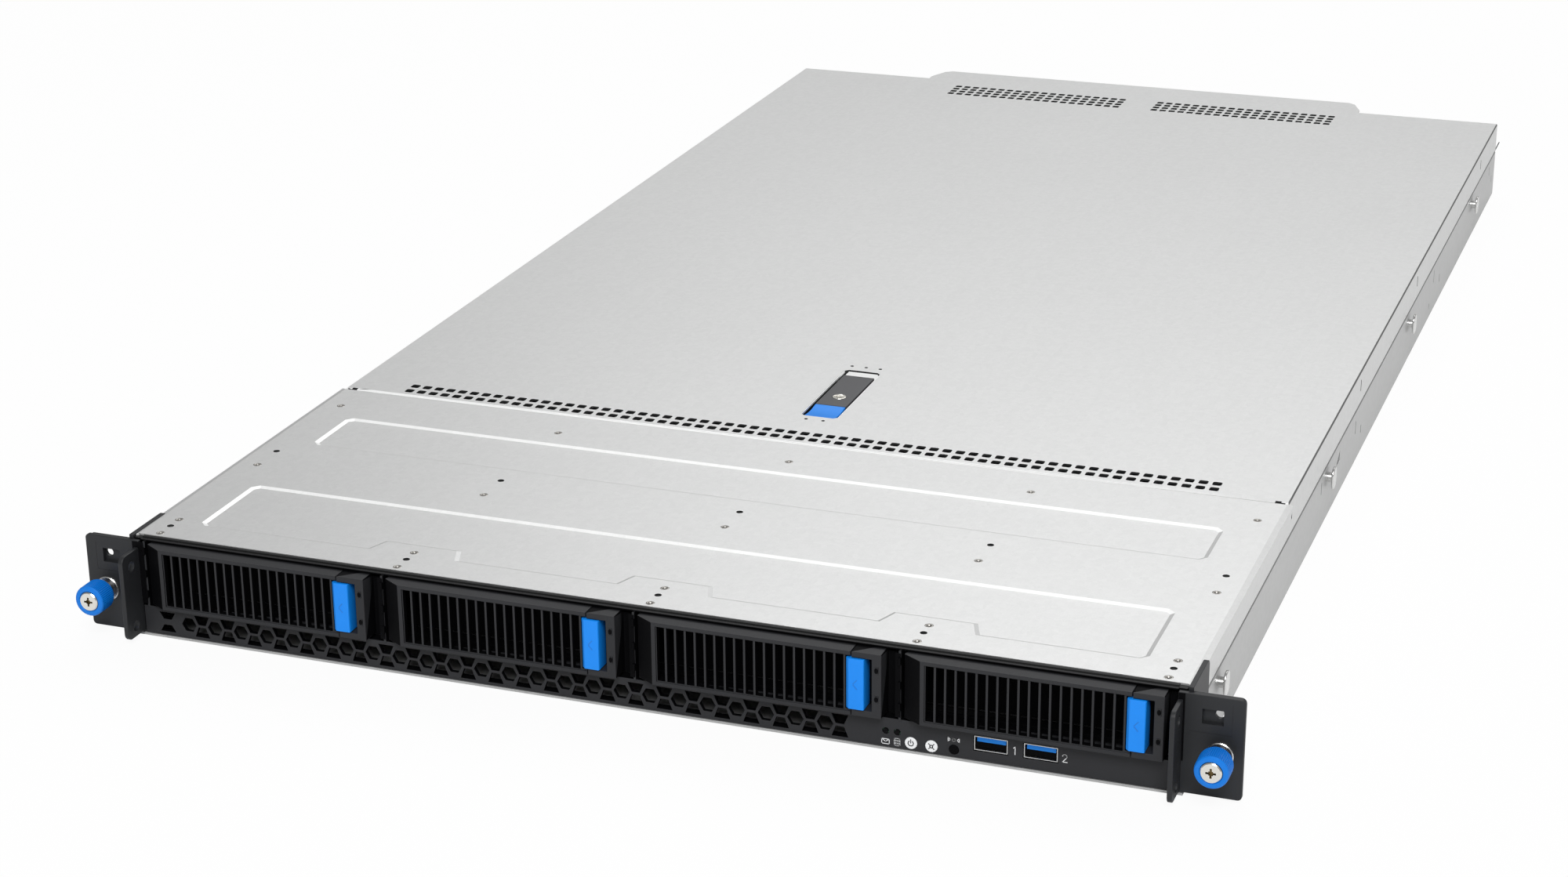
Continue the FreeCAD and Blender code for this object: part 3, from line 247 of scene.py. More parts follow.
NODE_FINISH = {
    "chassis_pan": PAN_ZINC, "rear_panel": PAN_ZINC, "front_cover": ZINC, "rear_cover": ZINC,
    "cross_brace": CAGE_ZINC, "drive_cage": CAGE_SHADE_ZINC, "riser_cage": CAGE_ZINC, "latch_lever": LEVER_BLACK,
    "latch_release": BLUE, "latch_lock_screw": NICKEL, "front_bezel": BLACK, "control_board": BOARD,
    # the reset key in shadow_black stands for the painted shade of its hole
    "usb_sockets": BRIGHT, "power_button": WHITE, "id_button": WHITE, "reset_button": SHADOW_BLACK,
    "thumbscrew_ferrules": BRIGHT, "rail_studs": BRIGHT, "backplane": BOARD, "fan_frames": INNER_BLACK,
    "main_board": BOARD, "heatsinks": FINS, "memory_modules": BOARD, "air_duct": INNER_BLACK,
}
for side in ("left", "right"):
    NODE_FINISH.update({
        f"ear_trim_{side}": EAR_BLACK, f"ear_bracket_{side}": EAR_BLACK, f"retainer_{side}": BRIGHT,
        f"knob_{side}": KNOB_BLUE, f"screw_{side}": NICKEL, f"power_supply_{side}": PAN_ZINC,
        f"psu_latch_{side}": BLUE,
    })
for stem, finish in (("tray", BLACK), ("handle", BLACK), ("release", BLUE), ("drive", CASTING),
                     ("fan_rotor", INNER_BLACK)):
    NODE_FINISH.update({node: finish for node in nodes if node.startswith(f"{stem}_")})
for node, item in nodes.items():
    item.data.materials.clear()
    item.data.materials.append(NODE_FINISH[node])


# --- helpers for pieces ---

def settled(piece):
    """The piece with what its modifiers make as its own plain mesh."""
    graph = bpy.context.evaluated_depsgraph_get()
    mesh = bpy.data.meshes.new_from_object(piece.evaluated_get(graph))
    piece.modifiers.clear()
    piece.data = mesh
    return piece


def new_piece(name, form, finish=None):
    """An object from a bmesh, which is used up."""
    mesh = bpy.data.meshes.new(name)
    bmesh.ops.recalc_face_normals(form, faces=form.faces)
    form.to_mesh(mesh)
    form.free()
    piece = bpy.data.objects.new(name, mesh)
    bpy.context.scene.collection.objects.link(piece)
    if finish:
        mesh.materials.append(finish)
    return piece


def bevelled(piece, width, segments=2, angle=30.0):
    """Rounds the piece's edges and keeps its flats flat."""
    bevel = piece.modifiers.new("edges", "BEVEL")
    bevel.width = width
    bevel.segments = segments
    bevel.limit_method = "ANGLE"
    bevel.angle_limit = math.radians(angle)
    bevel.use_clamp_overlap = False
    bevel.loop_slide = False
    settled(piece)
    return smooth(piece, 50.0 / segments + 10.0)


def smooth(piece, angle=28.0):
    """Smooth faces with sharp edges past that angle and with its flats kept flat."""
    piece.data.shade_smooth()
    piece.data.set_sharp_from_angle(angle=math.radians(angle))
    weights = piece.modifiers.new("flats", "WEIGHTED_NORMAL")
    weights.keep_sharp = True
    weights.weight = 100
    return settled(piece)


def merged_copy(node):
    """The node's shape as one joined bmesh."""
    form = bmesh.new()
    form.from_mesh(nodes[node].data)
    bmesh.ops.remove_doubles(form, verts=form.verts, dist=WELD)
    return form


def repaint(piece, finish, chosen):
    """Gives the faces that are chosen by middle and normal another finish."""
    mesh = piece.data
    if not mesh.materials:
        mesh.materials.append(None)
    mesh.materials.append(finish)
    index = len(mesh.materials) - 1
    for face in mesh.polygons:
        if chosen(face.center, face.normal):
            face.material_index = index


def carved(piece, cutter, edge=None):
    """Cuts one piece out of another and deletes the cutter; edge is the finish of the cut faces."""
    if edge:
        for mesh, index in ((piece.data, 0), (cutter.data, 1)):
            mesh.materials.clear()
            mesh.materials.append(edge)
            mesh.materials.append(edge)
            mesh.polygons.foreach_set("material_index", [index] * len(mesh.polygons))
    cut = piece.modifiers.new("cut", "BOOLEAN")
    cut.operation = "DIFFERENCE"
    cut.solver = "EXACT"
    cut.use_self = True
    cut.object = cutter
    settled(piece)
    bpy.data.objects.remove(cutter)
    form = bmesh.new()
    form.from_mesh(piece.data)
    bmesh.ops.remove_doubles(form, verts=form.verts, dist=WELD)
    bmesh.ops.triangulate(form, faces=form.faces, quad_method="BEAUTY", ngon_method="BEAUTY")
    form.to_mesh(piece.data)
    form.free()
    return piece


def stand_for(piece, node):
    """The piece takes a node's place, body and finish."""
    if piece.data.materials:
        piece.data.materials[0] = NODE_FINISH[node]
    else:
        piece.data.materials.append(NODE_FINISH[node])
    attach(piece, body_of_node[node])
    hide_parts(node)


def add(piece, body):
    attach(piece, body)


def block(form, low, high):
    """A box in a bmesh from its lowest and highest corners."""
    middle = (Vector(low) + Vector(high)) / 2
    size = Vector(high) - Vector(low)
    turn = Matrix.Translation(middle) @ Matrix.Diagonal((*size, 1.0))
    bmesh.ops.create_cube(form, size=1.0, matrix=turn)


def lathe(form, profile, steps, at, ripple=None):
    """Turns (radius, y) points about a line along Y through at; ripple(step) scales the radius of
    a point that has a third, true entry."""
    rings = []
    for step in range(steps):
        turn = math.tau * step / steps
        ring = []
        for radius, y, *knurled in profile:
            reach = radius * (ripple(step) if knurled else 1.0)
            ring.append(form.verts.new((at[0] + reach * math.cos(turn), y, at[2] + reach * math.sin(turn))))
        rings.append(ring)
    for step in range(steps):
        here, there = rings[step], rings[(step + 1) % steps]
        for row in range(len(profile) - 1):
            form.faces.new((here[row], there[row], there[row + 1], here[row + 1]))
    return rings


def stroke(form, points, width, y, deep=0.06 * MM):
    """A raised line of that width along (x, z) points on an upright face."""
    for start, end in zip(points, points[1:]):
        a, b = Vector((start[0], y, start[1])), Vector((end[0], y, end[1]))
        along = (b - a).normalized()
        side = along.cross(Vector((0, 1, 0))) * (width / 2)
        along = along * (width / 2)
        corners = [a - side - along, a + side - along, b + side + along, b - side + along]
        front = [form.verts.new(c - Vector((0, deep, 0))) for c in corners]
        back = [form.verts.new(c + Vector((0, deep, 0))) for c in corners]
        form.faces.new(front)
        form.faces.new(list(reversed(back)))
        for k in range(4):
            form.faces.new((front[k], back[k], back[(k + 1) % 4], front[(k + 1) % 4]))


def arc(x, z, radius, start, end, steps=14):
    return [(x + radius * math.cos(math.radians(start + (end - start) * k / steps)),
             z + radius * math.sin(math.radians(start + (end - start) * k / steps)))
            for k in range(steps + 1)]


def rounded(low, high, radius, rounds, steps=6):
    """Corners of a rectangle in its own plane, from the lowest; rounds says which are rounded."""
    centres = ((low[0], low[1], 180), (high[0], low[1], 270), (high[0], high[1], 0), (low[0], high[1], 90))
    points = []
    for (x, z, turn), is_round in zip(centres, rounds):
        if not is_round:
            points.append((x, z))
            continue
        middle = (x + (radius if x == low[0] else -radius), z + (radius if z == low[1] else -radius))
        points += arc(*middle, radius, turn, turn + 90, steps)
    return points


def plate(name, points, low, high, along="Y"):
    """A flat plate with its outline across X, Y or Z."""
    def corner(point, depth):
        u, v = point
        return {"X": (depth, u, v), "Y": (u, depth, v), "Z": (u, v, depth)}[along]

    form = bmesh.new()
    sides = [[form.verts.new(corner(point, depth)) for point in points] for depth in (low, high)]
    form.faces.new(sides[0])
    form.faces.new(list(reversed(sides[1])))
    for k in range(len(points)):
        after = (k + 1) % len(points)
        form.faces.new((sides[0][k], sides[1][k], sides[1][after], sides[0][after]))
    return new_piece(name, form)


# --- trees for what repeats ---

def copies_tree(name, inputs, points_of):
    """Copies of a small piece, one at each point that points_of makes of the tree's inputs."""
    tree = bpy.data.node_groups.new(name, "GeometryNodeTree")
    for label, kind in (*inputs, ("Piece", "Object"), ("Finish", "Material")):
        tree.interface.new_socket(label, in_out="INPUT", socket_type=f"NodeSocket{kind}")
    tree.interface.new_socket("Geometry", in_out="OUTPUT", socket_type="NodeSocketGeometry")
    make, link = tree.nodes.new, tree.links.new
    given = make("NodeGroupInput").outputs
    source = make("GeometryNodeObjectInfo")
    link(given["Piece"], source.inputs["Object"])
    copies = make("GeometryNodeInstanceOnPoints")
    link(points_of(make, link, given), copies.inputs["Points"])
    link(source.outputs["Geometry"], copies.inputs["Instance"])
    real = make("GeometryNodeRealizeInstances")
    link(copies.outputs[0], real.inputs[0])
    painted = make("GeometryNodeSetMaterial")
    link(real.outputs[0], painted.inputs["Geometry"])
    link(given["Finish"], painted.inputs["Material"])
    link(painted.outputs[0], make("NodeGroupOutput").inputs[0])
    return tree


def level_grid(make, link, given):
    """The points of a level grid about its middle."""
    grid = make("GeometryNodeMeshGrid")
    for count, points, pitch, size in (("Columns", "Vertices X", "Column Pitch", "Size X"),
                                       ("Rows", "Vertices Y", "Row Pitch", "Size Y")):
        fewer, span = make("ShaderNodeMath"), make("ShaderNodeMath")
        fewer.operation, span.operation = "SUBTRACT", "MULTIPLY"
        fewer.inputs[1].default_value = 1.0
        link(given[count], grid.inputs[points])
        link(given[count], fewer.inputs[0])
        link(fewer.outputs[0], span.inputs[0])
        link(given[pitch], span.inputs[1])
        link(span.outputs[0], grid.inputs[size])
    moved = make("GeometryNodeTransform")
    link(grid.outputs["Mesh"], moved.inputs["Geometry"])
    link(given["Middle"], moved.inputs["Translation"])
    return moved.outputs[0]


def own_points(make, link, given):
    return given["Places"]


GRID = copies_tree("rows_of_pieces", (("Columns", "Int"), ("Rows", "Int"), ("Column Pitch", "Float"),
                                      ("Row Pitch", "Float"), ("Middle", "Vector")), level_grid)
PLACES = copies_tree("copies_at_places", (("Places", "Geometry"),), own_points)


def grown(name, mesh, tree, values):
    """A plain mesh of what a tree makes of a mesh and of its inputs' values."""
    holder = bpy.data.objects.new(name, mesh)
    bpy.context.scene.collection.objects.link(holder)
    modifier = holder.modifiers.new("copies", "NODES")
    modifier.node_group = tree
    for item in tree.interface.items_tree:
        if item.in_out == "INPUT" and item.name in values:
            modifier[item.identifier] = values[item.name]
    return settled(holder)


def rows_of(name, piece, columns, rows, pitch, middle, finish):
    """A plain mesh of copies of a small piece on a grid."""
    return grown(name, bpy.data.meshes.new(name), GRID,
                 {"Columns": columns, "Rows": rows, "Column Pitch": pitch[0], "Row Pitch": pitch[1],
                  "Middle": middle, "Piece": piece, "Finish": finish})


def copies_of(name, piece, places, finish):
    """A plain mesh of copies of a small piece, whose own object is used up."""
    mesh = bpy.data.meshes.new(name)
    mesh.from_pydata([tuple(place) for place in places], [], [])
    holder = grown(name, mesh, PLACES, {"Piece": piece, "Finish": finish})
    bpy.data.objects.remove(piece)
    return holder


def joined(name, pieces):
    """One piece from several meshes at the origin."""
    form = bmesh.new()
    for piece in pieces:
        form.from_mesh(piece.data)
        bpy.data.objects.remove(piece)
    return new_piece(name, form)


# --- covers ---

BODY_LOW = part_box("chassis_pan")[0]
COVER_LOW, COVER_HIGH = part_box("front_cover")
TOP = COVER_HIGH[2]
HALF = COVER_HIGH[0]
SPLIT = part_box("rear_cover")[0][1]
NEAR = 0.01 * MM                          # how close a point lies to the plane it belongs to

SEAM_ROWS_Y = SPLIT + 10.05 * MM          # middle of the two vent rows behind the seam
SEAM_ROWS_X = -1.54 * MM
SEAM_VENT = 4.0 * MM
SEAM_PITCH = (5.97 * MM, 6.3 * MM)
REAR_FIELD_Y = 797.2 * MM
REAR_FIELDS_X = (-59.25 * MM, 70.0 * MM)
REAR_VENT = 3.9 * MM
REAR_PITCH = (5.55 * MM, 5.8 * MM)
VENT_CORNER = 0.8 * MM
SKIRT_SLITS = (195.0 * MM, 359.7 * MM, 524.2 * MM, 753.0 * MM)
SLIT_HALF_WIDTH = 0.7 * MM
SLIT_LOW, SLIT_HIGH = 33.0 * MM, 38.5 * MM
SCREW_COLUMNS = (-210.4, -102.5, 6.3, 114.5, 210.8)
SCREW_ROWS = (8.0, 23.0, 88.5, 165.5)
PILOT_ROWS = (16.0, 105.5)
PILOT_RADIUS = 1.45 * MM
SEAT_RADIUS = 1.75 * MM
NUB_PLACES = ((-7.4, 290.5), (-0.4, 290.5), (6.5, 290.5), (-4.4, 217.5), (3.7, 217.5))
NUB_RADIUS = 0.85 * MM
WELL_HALF, WELL_NEAR, WELL_FAR = 9.5 * MM, 220 * MM, 286 * MM
PANEL_DEPTH = 0.6 * MM
PANEL_SLOPE = 1.8 * MM                    # how far a pressed wall runs as it goes down
ROLL_OFFSET = 0.7 * MM
ROLL_STRETCH = 3.4                        # how much wider than high the seam's roll is


def vent_tool(size, deep):
    """A small square cutter with round corners."""
    half = size / 2
    outline = rounded((-half, -half), (half, half), VENT_CORNER, (1, 1, 1, 1), 2)
    return plate("vent_tool", outline, -deep, deep, "Z")


def vent_field(columns, rows, hole, pitch, middle):
    tool = vent_tool(hole, 2 * MM)
    holes = rows_of("vent_field", tool, columns, rows, pitch, (*middle, TOP), None)
    bpy.data.objects.remove(tool)
    return holes


def disc_tool(radius, low, high, sides=48):
    """A round tool about its own origin."""
    form = bmesh.new()
    bmesh.ops.create_cone(form, cap_ends=True, segments=sides, radius1=radius, radius2=radius,
                          depth=high - low, matrix=Matrix.Translation((0, 0, (low + high) / 2)))
    return new_piece("round_tool", form)


def on_top(columns, rows):
    """Places on the covers' top face, from columns and rows in millimetres."""
    return [(x * MM, y * MM, TOP) for x in columns for y in rows]


def corner_reliefs():
    """Small stepped cuts in the rear cover where the covers meet at the two sides."""
    inner, step, outer = 213.6 * MM, 216.2 * MM, 218.0 * MM
    ahead, slot, notch = SPLIT - 0.5 * MM, SPLIT + 0.9 * MM, SPLIT + 2.4 * MM
    points = [(inner, ahead), (outer, ahead), (outer, slot), (step, slot), (step, notch), (inner, notch)]
    tools = [plate("relief", [(side * x, y) for x, y in points], TOP - 6 * MM, TOP + 1 * MM, "Z")
             for side in (-1, 1)]
    return joined("rear_cover_reliefs", tools)


def skirt_slits():
    """Upright slits through the rear cover's folded sides."""
    form = bmesh.new()
    for side in (-1, 1):
        x = sorted((side * (HALF - 0.9 * MM), side * (HALF + 1 * MM)))
        for y in SKIRT_SLITS:
            block(form, (x[0], y - SLIT_HALF_WIDTH, SLIT_LOW), (x[1], y + SLIT_HALF_WIDTH, SLIT_HIGH))
    return new_piece("skirt_slits", form)


def round_seam_edge(cover):
    """Rounds the rear cover's top front edge and draws it out into a wide roll."""
    form = bmesh.new()
    form.from_mesh(cover.data)
    edges = [edge for edge in form.edges
             if all(abs(vert.co.z - TOP) < 2 * NEAR and abs(vert.co.y - SPLIT) < NEAR for vert in edge.verts)]
    bmesh.ops.bevel(form, geom=edges, offset=ROLL_OFFSET, segments=3, affect="EDGES", profile=0.5)
    for vert in form.verts:
        back = vert.co.y - SPLIT
        if -NEAR < back < ROLL_OFFSET + NEAR and vert.co.z > TOP - ROLL_OFFSET - NEAR:
            vert.co.y = SPLIT + back * ROLL_STRETCH
    form.to_mesh(cover.data)
    form.free()


# the covers' folded edge, which takes painted shade
def on_folded_edge(middle, normal):
    return abs(middle.x) > HALF - 0.7 * MM and 0.3 < normal.z < 0.95


# the latch well's walls, which take painted shade
def in_latch_well(middle, normal):
    inside = abs(middle.x) < WELL_HALF and WELL_NEAR < middle.y < WELL_FAR
    return inside and middle.z < TOP - 0.2 * MM and abs(normal.z) < 0.6


# the seam's roll, which takes a painted highlight
def on_seam_roll(middle, normal):
    return middle.y < SPLIT + ROLL_OFFSET * ROLL_STRETCH and 0.2 < normal.z < 0.999


def on_lit_panel_wall(middle, normal):
    """A pressed panel's far walls and its left end walls, which take a painted highlight."""
    far = normal.y < -0.1
    left_end = normal.x > 0.1 and middle.x < -190 * MM
    return normal.z > 0.8 and (far or left_end)


def make_rear_cover():
    cover = new_piece("rear_cover_sheet", merged_copy("rear_cover"))
    cuts = [vent_field(64, 2, SEAM_VENT, SEAM_PITCH, (SEAM_ROWS_X, SEAM_ROWS_Y))]
    cuts += [vent_field(20, 4, REAR_VENT, REAR_PITCH, (x, REAR_FIELD_Y)) for x in REAR_FIELDS_X]
    cuts += [copies_of("nub_cuts", disc_tool(NUB_RADIUS, -2 * MM, 1 * MM, 16),
                       [(x * MM, y * MM, TOP) for x, y in NUB_PLACES], None),
             corner_reliefs(), skirt_slits()]
    round_seam_edge(cover)
    carved(cover, joined("cover_holes", cuts), SHADE_STEEL)
    cover.data.shade_flat()
    repaint(cover, FOLD_SHADE_ZINC, on_folded_edge)
    repaint(cover, SHADE_STEEL, in_latch_well)
    repaint(cover, HIGHLIGHT_ZINC, on_seam_roll)
    stand_for(cover, "rear_cover")


def make_latch_well_rim():
    """Strips in painted highlight down each side of the latch's well, and a ramp at its rear in the same
    painted highlight.
    """
    form = bmesh.new()
    low, high = TOP - 5.4 * MM, TOP - 0.7 * MM
    near, far = 280.6 * MM, 285.1 * MM
    corners = [(near, low), (far, high), (far, low - 1 * MM), (near, low - 1 * MM)]
    ends = [[form.verts.new((x, y, z)) for y, z in corners] for x in (-8.6 * MM, 8.6 * MM)]
    form.faces.new(ends[0])
    form.faces.new(list(reversed(ends[1])))
    for k in range(4):
        after = (k + 1) % 4
        form.faces.new((ends[0][k], ends[1][k], ends[1][after], ends[0][after]))
    for side in (-1, 1):
        x = sorted((side * 8.55 * MM, side * 9.05 * MM))
        block(form, (x[0], 223.5 * MM, TOP - 1.1 * MM), (x[1], 283.5 * MM, TOP - 0.06 * MM))
    piece = new_piece("latch_well_rim", form, HIGHLIGHT_ZINC)
    bevelled(piece, 0.15 * MM, 2)
    add(piece, "rear_cover")


def slope_panel_walls(form):
    """Draws the pressed panels' floors in, so that their upright walls slope."""
    floor = TOP - PANEL_DEPTH
    moves = {}
    for vert in form.verts:
        if abs(vert.co.z - floor) > 2 * NEAR:
            continue
        walls = {tuple(round(part, 3) for part in face.normal) for face in vert.link_faces
                 if abs(face.normal.z) < 0.1}
        total = sum((Vector(wall) for wall in walls), Vector())
        if total.length > 0.05:
            moves[vert] = total * (PANEL_SLOPE / max(0.3, total.length_squared) * len(walls))
    for vert, step in moves.items():
        vert.co += step * (0.5 if step.length > PANEL_SLOPE * 1.9 else 1.0)


def make_front_cover():
    form = merged_copy("front_cover")
    slope_panel_walls(form)
    cover = new_piece("front_cover_sheet", form)
    tools = [copies_of(name, disc_tool(radius, -3 * MM, 2 * MM), on_top(SCREW_COLUMNS, rows), None)
             for name, radius, rows in (("pilot_cuts", PILOT_RADIUS, PILOT_ROWS),
                                        ("seat_cuts", SEAT_RADIUS, SCREW_ROWS))]
    carved(cover, joined("front_cover_holes", tools), SHADE_STEEL)
    cover.data.shade_flat()
    repaint(cover, FOLD_SHADE_ZINC, on_folded_edge)
    # the panels' far and left walls in painted highlight
    repaint(cover, HIGHLIGHT_ZINC, on_lit_panel_wall)
    stand_for(cover, "front_cover")


def make_cover_screws():
    """Small flush screws with a round driver recess, one in each seat."""
    heads = bmesh.new()
    steps = 24
    profile = ((1.72, -0.75), (1.72, -0.12), (1.6, 0.0), (1.32, 0.02), (1.2, -0.06), (0.7, -0.7))
    rings = [[heads.verts.new((x, y, height * MM)) for x, y in arc(0, 0, radius * MM, 0, 360, steps)[:-1]]
             for radius, height in profile]
    for lower, upper in zip(rings, rings[1:]):
        for k in range(steps):
            after = (k + 1) % steps
            heads.faces.new((lower[k], lower[after], upper[after], upper[k]))
    heads.faces.new(rings[0])
    heads.faces.new(rings[-1])
    head = new_piece("cover_screw_head", heads)
    smooth(head, 50.0)
    seats = on_top(SCREW_COLUMNS, SCREW_ROWS)
    add(copies_of("cover_screws", head, seats, SCREW_ZINC), "chassis")
    # a dark disc of painted shade at the bottom of each driver recess
    bottom = disc_tool(0.86 * MM, -0.72 * MM, -0.5 * MM, 16)
    add(copies_of("cover_screw_recesses", bottom, seats, PRINT_AND_SHADE_BLACK), "chassis")


def make_side_joints():
    """A thin strip of painted shade along the joint where the covers' skirts meet the pan's side walls."""
    form = bmesh.new()
    skirt = COVER_LOW[2]
    for side in (-1, 1):
        x = sorted((side * (HALF - 0.5 * MM), side * (HALF + 0.03 * MM)))
        block(form, (x[0], COVER_LOW[1] + 1 * MM, skirt - 0.22 * MM), (x[1], 838.0 * MM, skirt + 0.05 * MM))
    add(new_piece("side_joint_shadow", form, SHADE_STEEL), "chassis")


# --- trays ---

LAMP_HEIGHTS = (22.5 * MM, 34.4 * MM)
LAMP_FROM_HANDLE = 10.2 * MM


def in_handle_slots(middle, normal):
    """The sides of a handle's slats and all that lies behind them, which take painted shade."""
    among_slats = middle.y > -4.86 * MM and 16.4 * MM < middle.z < 39.2 * MM
    return among_slats and abs(normal.y) < 0.9 or middle.y > 0.5 * MM


def behind_tray_front(middle, normal):
    return 0 < middle.y < 14 * MM


def on_drive_front(middle, normal):
    return middle.y < 13 * MM


def make_trays():
    # painted shade: these faces of trays, handles and drives turn near-black
    dark = {"tray": behind_tray_front, "handle": in_handle_slots, "drive": on_drive_front}
    for bay in (1, 2, 3, 4):
        for stem, kind, width in (("tray", "moulding", 0.25), ("handle", "moulding", 0.12),
                                  ("release", "moulding", 0.3), ("drive", "body", 0.4)):
            node = f"{stem}_{bay}"
            piece = new_piece(f"{stem}_{kind}_{bay}", merged_copy(node))
            bevelled(piece, width * MM, 2)
            if stem in dark:
                repaint(piece, SHADOW_BLACK, dark[stem])
            stand_for(piece, node)
        make_release_arrow(bay)
        make_tray_lamps(bay)


def make_release_arrow(bay):
    """The faint open arrow pressed into a release, drawn as raised strokes of darker blue in painted shade.
    """
    low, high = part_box(f"release_{bay}")
    x, z = (low[0] + high[0]) / 2, (low[2] + high[2]) / 2
    reach = 0.9 * MM
    form = bmesh.new()
    for turn in (-1, 1):
        stroke(form, [(x - reach * 0.5, z + turn * 0.3 * MM), (x + reach, z + turn * 2.0 * reach)],
               0.4 * MM, low[1] - 0.02 * MM)
    add(new_piece(f"release_arrow_{bay}", form, ARROW_SHADE_BLUE), f"release_{bay}")


def make_tray_lamps(bay):
    """Two oval lamp windows, flat ovals in painted shade, on plugs in a tray's right-hand block."""
    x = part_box(f"handle_{bay}")[1][0] + LAMP_FROM_HANDLE
    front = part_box(f"tray_{bay}")[0][1]
    plugs, windows = bmesh.new(), bmesh.new()
    for z in LAMP_HEIGHTS:
        block(plugs, (x - 0.68 * MM, front + 0.02 * MM, z - 1.38 * MM),
              (x + 0.68 * MM, front + 0.9 * MM, z + 1.38 * MM))
        oval = [(x + 0.75 * MM * math.cos(math.tau * k / 20), z + 1.15 * MM * math.sin(math.tau * k / 20))
                for k in range(20)]
        windows.faces.new([windows.verts.new((u, front - 0.03 * MM, v)) for u, v in oval])
    for name, form, finish in (("plugs", plugs, BLACK), ("rims", windows, SHADOW_BLACK)):
        add(new_piece(f"tray_lamp_{name}_{bay}", form, finish), f"bay_{bay}")


# --- bezel, keys and sockets ---

BAY_PITCH = 108.0 * MM
POST_FRONT, POST_BACK = -0.36 * MM, -0.28 * MM
POST_FOOT = 14.2 * MM
POST_TOP, END_POST_TOP = 40.8 * MM, 41.4 * MM
TEETH_Z = (17.0 * MM, 26.0 * MM, 36.0 * MM)
TOOTH_HEIGHT = 3.2 * MM
KEY_LINE, PANEL_LINE = 0.32 * MM, 0.28 * MM
PANEL_LAMPS_X, PANEL_LAMPS_Z = (104.8 * MM, 109.4 * MM), 7.7 * MM
SOCKETS_X = (146.1 * MM, 165.4 * MM)


def behind_bezel_front(middle, normal):
    return middle.y > 0.17 * MM and middle.z < 42 * MM


def make_bezel():
    bezel = new_piece("bezel_moulding", merged_copy("front_bezel"))
    bevelled(bezel, 0.14 * MM, 2)
    # faces behind the bezel's front in painted shade
    repaint(bezel, SHADOW_BLACK, behind_bezel_front)
    stand_for(bezel, "front_bezel")

    # the posts' faces and teeth: thin plates in painted shade
    faces = bmesh.new()
    for bay in range(3):
        x = -107.4 * MM + BAY_PITCH * bay
        block(faces, (x, POST_FRONT, POST_FOOT), (x + 2.2 * MM, POST_BACK, POST_TOP))
    for left, right in ((-219.0 * MM, -213.8 * MM), (216.6 * MM, 219.0 * MM)):
        block(faces, (left, POST_FRONT, POST_FOOT), (right, POST_BACK, END_POST_TOP))
    add(new_piece("bezel_post_faces", faces, SHADOW_BLACK), "chassis")

    teeth = bmesh.new()
    for bay in range(4):
        x = -213.6 * MM + BAY_PITCH * bay
        for z in TEETH_Z:
            block(teeth, (x - 0.5 * MM, -1.2 * MM, z), (x + 0.5 * MM, 0.2 * MM, z + TOOTH_HEIGHT))
    piece = new_piece("bezel_post_teeth", teeth, SHADOW_BLACK)
    bevelled(piece, 0.2 * MM, 2)
    add(piece, "chassis")


def pictogram(form, x, z, lines, width, y):
    """Raised lines through points that are given in millimetres from (x, z)."""
    for points in lines:
        stroke(form, [(x + u * MM, z + v * MM) for u, v in points], width, y)


def make_keys():
    for node, width in (("power_button", 0.25), ("id_button", 0.25), ("reset_button", 0.2)):
        piece = new_piece(f"{node}_cap", merged_copy(node))
        bevelled(piece, width * MM, 3)
        stand_for(piece, node)
    power = [arc(0, 0, 1.05, 125, 415), [(0, 0.2), (0, 1.5)]]
    locate = [arc(0, 0, 0.55, 0, 360)]
    locate += [[arc(0, 0, radius, turn, turn, 1)[0] for radius in (0.95, 1.5)]
               for turn in (45, 135, 225, 315)]
    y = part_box("power_button")[0][1] - 0.03 * MM
    for node, shape, lines in (("power_button", "power", power), ("id_button", "locate", locate)):
        low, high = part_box(node)
        form = bmesh.new()
        pictogram(form, (low[0] + high[0]) / 2, (low[2] + high[2]) / 2, lines, KEY_LINE, y)
        add(new_piece(f"{shape}_key_mark", form, PRINT_AND_SHADE_BLACK), node)


def make_panel_marks():
    """Plain pictograms by the lamps and plain numbers by the sockets."""
    envelope = [[(-1.5, -1.0), (1.5, -1.0), (1.5, 1.0), (-1.5, 1.0), (-1.5, -1.0)],
                [(-1.5, 1.0), (0.0, -0.1), (1.5, 1.0)]]
    drum = [[(u, lift + v * 0.4) for u, v in arc(0, 0, 1.1, 0, 360)] for lift in (-1.1, 0.0, 1.1)]
    drum += [[(u, -1.1), (u, 1.1)] for u in (-1.1, 1.1)]
    reset = [arc(0, 0, 0.6, 0, 360)]
    reset += [[(side * 1.3, 0.0), (side * 2.2, 0.8), (side * 2.2, -0.8), (side * 1.3, 0.0)]
              for side in (-1, 1)]
    one = [[(-0.6, 1.0), (0.0, 1.6), (0.0, -1.6)]]
    two = [arc(0, 0.7, 0.85, 170, -35, 8) + [(-0.85, -1.6), (0.95, -1.6)]]
    form = bmesh.new()
    for x, z, lines in ((104.8, 3.3, envelope), (109.4, 3.6, drum), (131.7, 8.2, reset),
                        (155.6, 7.6, one), (174.7, 7.6, two)):
        pictogram(form, x * MM, z * MM, lines, PANEL_LINE, -0.02 * MM)
    add(new_piece("panel_marks", form, MARK_WHITE), "chassis")


